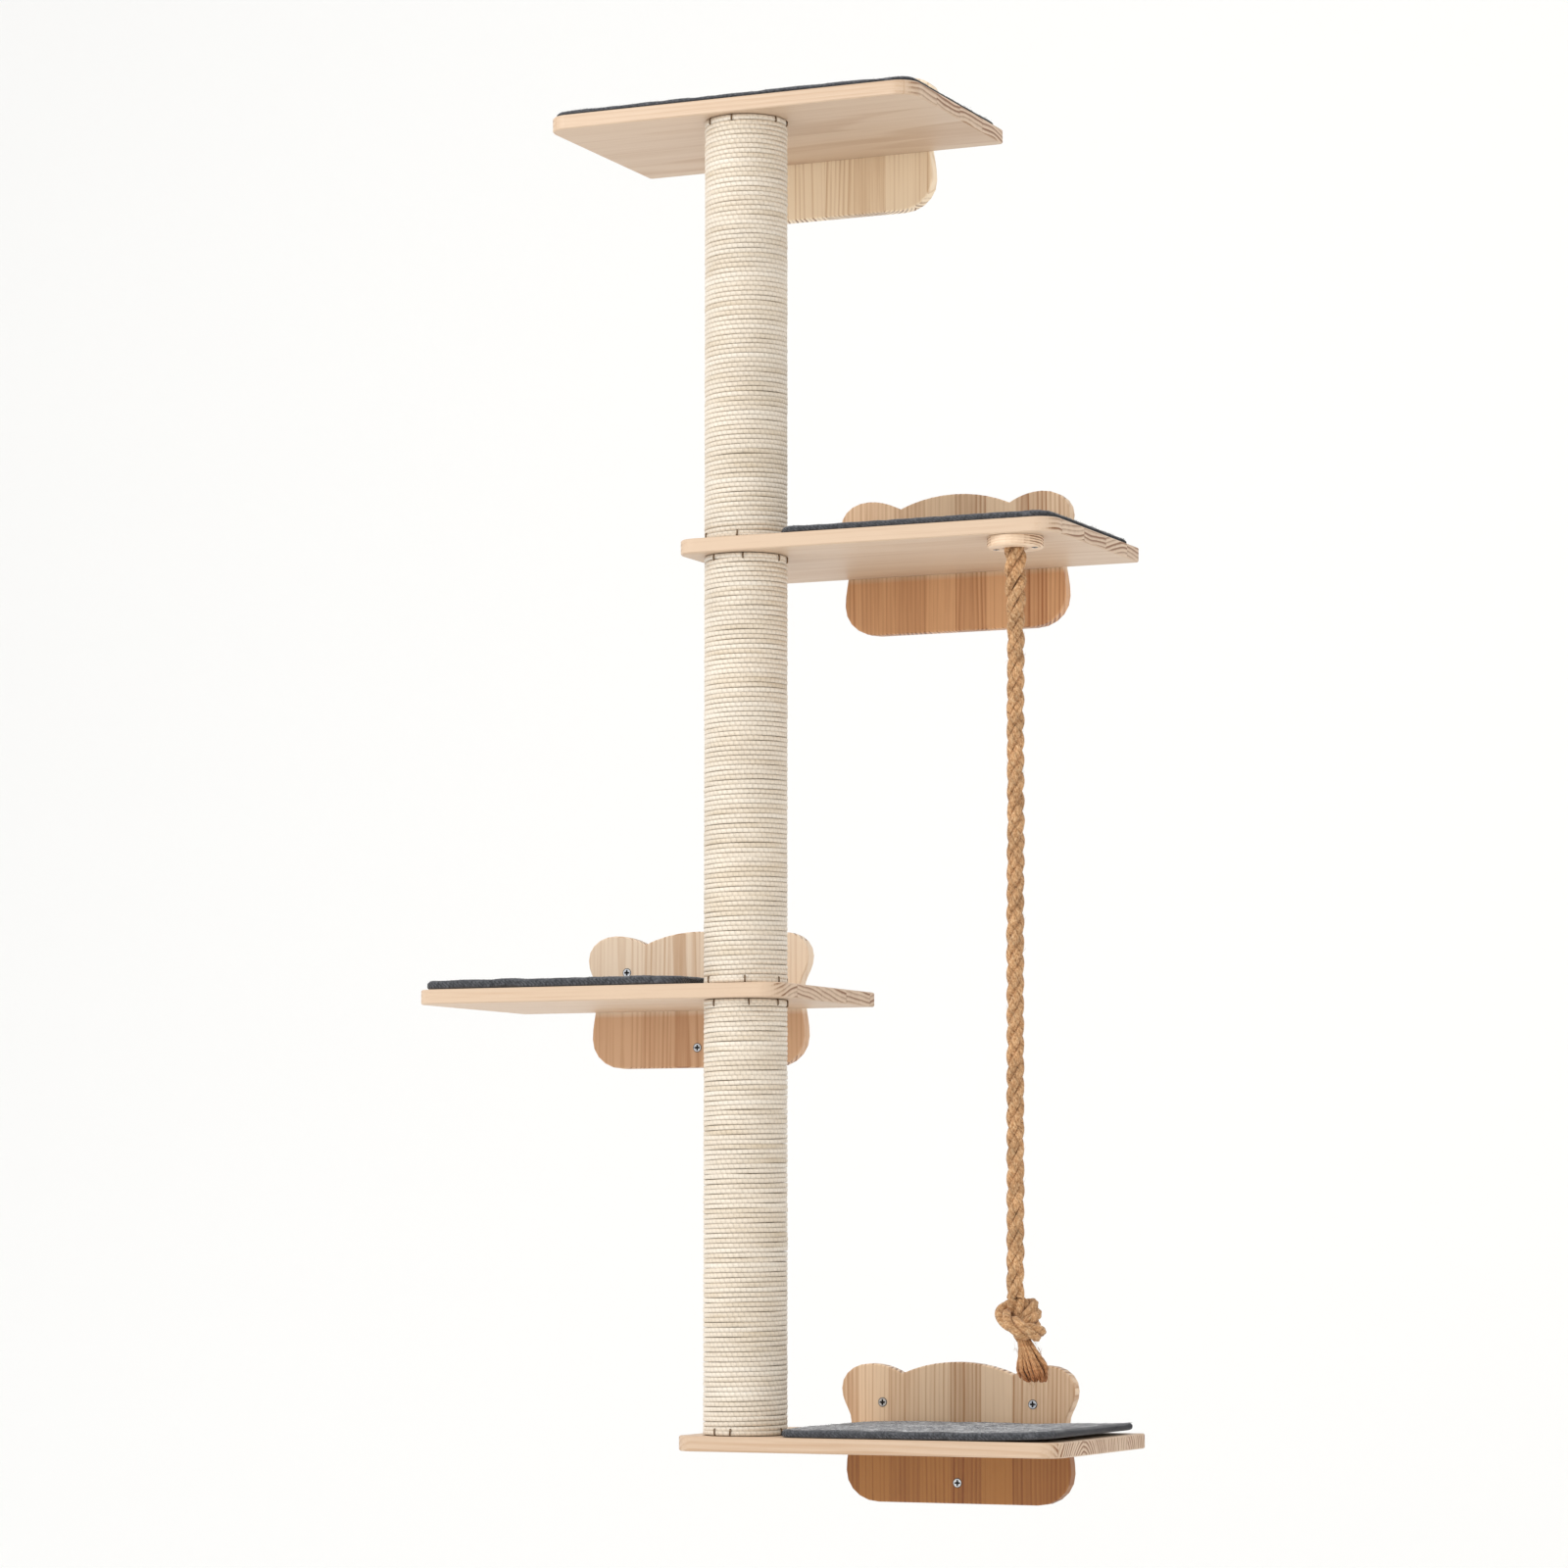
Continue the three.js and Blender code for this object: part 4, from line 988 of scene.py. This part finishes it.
def settle_cover(vertices, faces, held):
    """Lets a cover that is a little too large swell and wrinkle over its foam; held points stay."""
    mesh = bpy.data.meshes.new("loose_cover")
    mesh.from_pydata(vertices.tolist(), [], faces.tolist())
    cover = bpy.data.objects.new("loose_cover", mesh)
    scene.collection.objects.link(cover)
    cover.vertex_groups.new(name="held").add(list(range(held)), 1.0, "REPLACE")
    modifier = cover.modifiers.new("cloth", "CLOTH")
    cloth = modifier.settings
    cloth.quality, cloth.mass, cloth.bending_stiffness = 6, 0.2, 0.4
    cloth.tension_stiffness, cloth.compression_stiffness, cloth.shear_stiffness = 8, 4, 3
    cloth.use_pressure, cloth.uniform_pressure_force = True, 0.8
    cloth.shrink_min = -0.02
    cloth.effector_weights.gravity = 0
    cloth.vertex_group_mass = "held"
    modifier.collision_settings.use_collision = False
    modifier.point_cache.frame_start, modifier.point_cache.frame_end = 1, CLOTH_FRAMES
    for frame_number in range(1, CLOTH_FRAMES + 1):
        scene.frame_set(frame_number)
    settled = cover.evaluated_get(bpy.context.evaluated_depsgraph_get()).data
    moved = np.empty(len(vertices) * 3, np.float32)
    settled.vertices.foreach_get("co", moved)
    moved = moved.reshape(-1, 3) - vertices
    bpy.data.objects.remove(cover)
    bpy.data.meshes.remove(mesh)
    far = np.linalg.norm(moved, axis=1)[:, None] + 1e-9
    return vertices + moved / far * COVER_ROOM * np.tanh(far / (4 * COVER_ROOM))


def make_pad(level, plush, edge_cloth, seed):
    """One shelf's pad: a cover built in rings from its foot to its middle, its pile and its stitches."""
    low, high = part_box(f"{level}_pad")
    rng = np.random.default_rng(seed)
    fullness, waves, curl = PAD_WEAR[level]
    top_level = low.z + (high.z - low.z) * fullness
    side = top_level - low.z - PAD_EDGE
    edge, out, middle = pad_outline(low, high, PAD_CORNER, PAD_POINTS)
    around = np.linspace(0, 2 * math.pi, PAD_POINTS, endpoint=False)
    ripple = sum(rng.uniform(0.2, 0.5) * np.cos(k * around + rng.uniform(0, 6.3))
                 for k in (3, 5, 8, 13, 21))
    lift = np.clip(ripple, 0, 2) * 0.9 * MM * waves

    def curled(x):
        return curl * np.clip((x - high.x + CURL_LENGTH) / CURL_LENGTH, 0, 1) ** 2

    rings = [np.column_stack([edge - out * PAD_BASE_INSET * 4, np.full(PAD_POINTS, low.z + PAD_FOOT)]),
             np.column_stack([edge - out * PAD_BASE_INSET, low.z + PAD_FOOT + lift * 0.6])]
    inward = [-0.004, -0.001]
    for part in (0.1, 0.5, 1.0):
        bulge = PAD_SIDE_BULGE * math.sin(part * math.pi)
        height = (low.z + lift * (1 - part * 0.4) * 0.6 + PAD_SIDE_START
                  + part * (side - PAD_SIDE_START))
        rings.append(np.column_stack([edge + out * (bulge - PAD_SIDE_INSET), height]))
        inward.append(0.0)
    for step in range(1, PAD_EDGE_STEPS + 1):
        turn = step / PAD_EDGE_STEPS * math.pi / 2
        rings.append(np.column_stack([edge - out * (PAD_SIDE_INSET + PAD_EDGE * (1 - math.cos(turn))),
                                      top_level - PAD_EDGE * (1 - math.sin(turn)) + lift * 0.3]))
        inward.append(PAD_EDGE * turn * 0.6)
    first = rings[-1]
    for ring in range(1, PAD_RINGS + 1):
        share = ring / PAD_RINGS * 0.997
        flat = first[:, :2] + (middle - first[:, :2]) * share
        rings.append(np.column_stack([flat, top_level + lift * 0.3 * (1 - share) ** 2]))
        inward.append(PAD_EDGE + share * 0.11)
    vertices, faces = lofted(np.array(rings))
    vertices = settle_cover(vertices, faces, 4 * PAD_POINTS)
    vertices[:, 2] += curled(vertices[:, 0])
    top_from = 5 * PAD_POINTS
    for index in range(top_from, len(vertices)):
        x, y, _ = vertices[index]
        broad = noise.noise(Vector((x * 16 + seed, y * 16, 0)))
        tuft = noise.noise(Vector((x * 90, y * 90, seed * 2.0)))
        edge_share = min(1.0, (index - top_from) / (6 * PAD_POINTS))
        vertices[index, 2] += (0.5 * broad + 0.35 * tuft - 0.3) * MM * edge_share
    grid = (vertices, faces, wrapped_uv(PAD_POINTS, np.array(inward)))
    pad = grid_object(f"{level}_plush_pad", [grid], plush, "in_from_edge")
    pad.modifiers.new("finer", "SUBSURF").render_levels = 1
    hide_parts(f"{level}_pad")
    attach(pad, "tree")

    tops = np.arange(top_from + 3 * PAD_POINTS, len(vertices) - 2 * PAD_POINTS)
    spread = np.linalg.norm(vertices[tops][:, :2] - middle, axis=1) + 0.004
    chosen = rng.choice(tops, PAD_HAIRS, p=spread / spread.sum())
    roots = vertices[chosen] + np.column_stack([rng.normal(0, 1.2 * MM, (PAD_HAIRS, 2)),
                                                np.full(PAD_HAIRS, -0.3 * MM)])
    ways = np.column_stack([rng.normal(0.5, 0.8, PAD_HAIRS), rng.normal(0, 0.8, PAD_HAIRS),
                            rng.uniform(0.4, 1.2, PAD_HAIRS)])
    points, faces, uv = hairs(roots, ways, rng.uniform(1.2, 2.6, PAD_HAIRS) * MM, PAD_HAIR_RADIUS,
                              np.array([[0.2, 0.0, -0.5]]))
    pile = grid_object(f"{level}_pad_pile", [(points, faces, np.full(uv.shape, 0.05))], plush,
                       "in_from_edge")
    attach(pile, "tree")

    stitches = []
    for start in range(PAD_POINTS - 2):
        slant = start + 1
        points = np.array([
            np.append(edge[start] - out[start] * 1.6 * MM, top_level - 1.6 * MM + lift[start] * 0.5),
            np.append(edge[start] + out[start] * 0.15 * MM, low.z + side + lift[start] * 0.5),
            np.append(edge[slant] + out[slant] * 0.25 * MM, low.z + side * 0.5 + lift[slant] * 0.6),
            np.append(edge[slant] - out[slant] * 0.6 * MM, low.z + 0.7 * MM + lift[slant] * 0.6)])
        points[:, 2] += curled(points[:, 0])
        stitches.append(tube(points, np.full(4, THREAD_RADIUS), 4))
    overcast = grid_object(f"{level}_pad_stitches", stitches, edge_cloth)
    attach(overcast, "tree")


def make_pads():
    """The four pads, worn by different amounts."""
    plush, edge_cloth = make_plush(), make_edge_cloth()
    for number, level in enumerate(LEVELS):
        make_pad(level, plush, edge_cloth, 3 + number)


make_pads()

# ------------------------------------------------------------------ screws and bolts
# Zinc-plated steel: countersunk cross-recess wood screws through plates, shelves and disc, flat-headed
# bolts at both ends of the line of posts, and studs in threaded inserts between them.
SCREWS = [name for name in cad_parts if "_screw" in name]
FIXING_EDGE = 0.3 * MM
SCREW_SIDES = 32
LIP_DEPTH = 0.28 * MM
CROSS_SUNK = 0.02 * MM
THREAD_PITCH = 1.9 * MM
THREAD_STEPS = 22                   # points of the thread in one turn
THREAD_HALF = 0.55 * MM             # half of the thread's width at its root
THREAD_FROM, THREAD_SHARE = 0.42, 0.56      # shares of the screw's length


def make_zinc():
    """Bright zinc plating: cloudy blue-grey with a few stains and fine brushing."""
    material, tree, shader = material_tree("zinc_plating", {"Metallic": 1.0})
    place = put(tree, "ShaderNodeTexCoord").outputs["Object"]
    spots = put(tree, "ShaderNodeTexVoronoi", {"Vector": place, "Scale": 500.0})
    finish_surface(tree, shader, coloured(tree, mottling(tree, place, 260.0, 4.0),
                                          (0.35, colour(176, 180, 186)), (0.65, colour(238, 240, 242))))
    tree.links.new(remapped(tree, spots.outputs["Distance"], 0.0, 1.0, 0.22, 0.42),
                   shader.inputs["Roughness"])
    return material


def make_painted_shade_metal():
    """Painted shade in the driven recess and round the head's sunk rim: dark, dull metal, a little mottled.
    """
    material, tree, shader = material_tree("painted_shade_recess", {"Metallic": 0.6, "Roughness": 0.5})
    place = put(tree, "ShaderNodeTexCoord").outputs["Object"]
    finish_surface(tree, shader, coloured(tree, mottling(tree, place, 900.0, 2.0),
                                          (0.0, colour(26, 26, 28)), (1.0, colour(74, 72, 70))))
    return material


def make_screw(node, material, painted_shade_material):
    """One wood screw in its CAD node's place, with a cross recess and a rolled thread."""
    low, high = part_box(node)
    size, middle = high - low, (low + high) / 2
    axis = max(range(3), key=lambda i: size[i])
    side_axes = ((axis + 1) % 3, (axis + 2) % 3)
    points = [vertex.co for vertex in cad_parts[node].data.vertices]
    head_radius = size[side_axes[0]] / 2

    def width_at(level):
        near = [sum((point[i] - middle[i]) ** 2 for i in side_axes) for point in points
                if abs(point[axis] - level) < 0.3 * MM]
        return math.sqrt(max(near, default=0.0))

    heads_up = width_at(high[axis]) > width_at(low[axis])
    top = Vector(middle)
    top[axis] = high[axis] if heads_up else low[axis]
    inward = Vector((0, 0, 0))
    inward[axis] = -1 if heads_up else 1
    length = size[axis]
    shank = head_radius / 2

    mesh = bmesh.new()
    arm, width, depth = head_radius * 0.66, head_radius * 0.15, head_radius * 0.42

    def ring(radius, down):
        turns = [i / SCREW_SIDES * 2 * math.pi for i in range(SCREW_SIDES)]
        return [mesh.verts.new((math.cos(turn) * radius, math.sin(turn) * radius, -down))
                for turn in turns]

    def cross(scale, down):
        corners = []
        for quarter in range(4):
            turn = Matrix.Rotation(quarter * math.pi / 2, 3, "Z")
            for x, y in ((arm * scale, -width), (arm * scale, width), (width * 1.5, width * 1.5)):
                corners.append(mesh.verts.new(turn @ Vector((x, y, -down))))
        return corners

    def bridge(first, second):
        for i in range(len(first)):
            j = (i + 1) % len(first)
            mesh.faces.new((first[i], first[j], second[j], second[i]))

    rim, lip = ring(head_radius * 0.88, 0.0), ring(head_radius, LIP_DEPTH)
    mouth = cross(1.0, CROSS_SUNK)
    edges = [mesh.edges.new((loop[i], loop[(i + 1) % len(loop)])) for loop in (rim, mouth)
             for i in range(len(loop))]
    bmesh.ops.triangle_fill(mesh, use_beauty=True, use_dissolve=False, edges=edges)
    bright = set(mesh.faces)
    inner = cross(0.45, depth)
    bridge(inner, mouth)
    mesh.faces.new(inner)
    bridge(lip, rim)
    # The recess and the band from rim to lip take the second material, painted shade.
    for face in set(mesh.faces) - bright:
        face.material_index = 1
    last = lip
    for down, share in ((head_radius * 0.55, 0.9), (head_radius * 0.9, 0.9), (length * 0.4, 0.9),
                        (length * THREAD_FROM, 0.66), (length * 0.86, 0.62), (length * 0.95, 0.36),
                        (length, 0.03)):
        following = ring(shank * share, down)
        bridge(following, last)
        last = following
    mesh.faces.new(list(reversed(last)))
    bmesh.ops.recalc_face_normals(mesh, faces=mesh.faces)
    steps = int(length * THREAD_SHARE / THREAD_PITCH * THREAD_STEPS)
    rows = []
    for i in range(steps + 1):
        t = i / steps
        turn = i / THREAD_STEPS * 2 * math.pi
        down = length * (THREAD_FROM + THREAD_SHARE * t)
        fade = min(1.0, t * 12, (1 - t) * 5)
        core = shank * 0.58 * min(1.0, (1 - t) * 6 + 0.1)
        crest = core + (shank * 0.96 - core) * fade
        side = Vector((math.cos(turn), math.sin(turn), 0))
        rows.append([mesh.verts.new(side * reach + Vector((0, 0, -down + rise)))
                     for reach, rise in ((core, THREAD_HALF), (crest, 0.0), (core, -THREAD_HALF))])
    for first, second in zip(rows, rows[1:]):
        for i in range(2):
            mesh.faces.new((first[i], first[i + 1], second[i + 1], second[i]))
    mesh.transform(Matrix.Translation(top) @ (-inward).to_track_quat("Z", "Y").to_matrix().to_4x4())
    data = bpy.data.meshes.new(node)
    mesh.to_mesh(data)
    mesh.free()
    data.materials.append(material)
    data.materials.append(painted_shade_material)
    screw = bpy.data.objects.new(f"{node}_threaded", data)
    scene.collection.objects.link(screw)
    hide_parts(node)
    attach(screw, "tree")


def make_fixings():
    """The wood screws again, and zinc plating on the bolts, studs and inserts."""
    zinc, painted_shade_metal = make_zinc(), make_painted_shade_metal()
    for node in SCREWS:
        make_screw(node, zinc, painted_shade_metal)
    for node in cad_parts:
        if node.endswith(("_bolt", "_stud", "_insert")):
            dress(node, zinc)
            round_edges(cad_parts[node], FIXING_EDGE)


make_fixings()
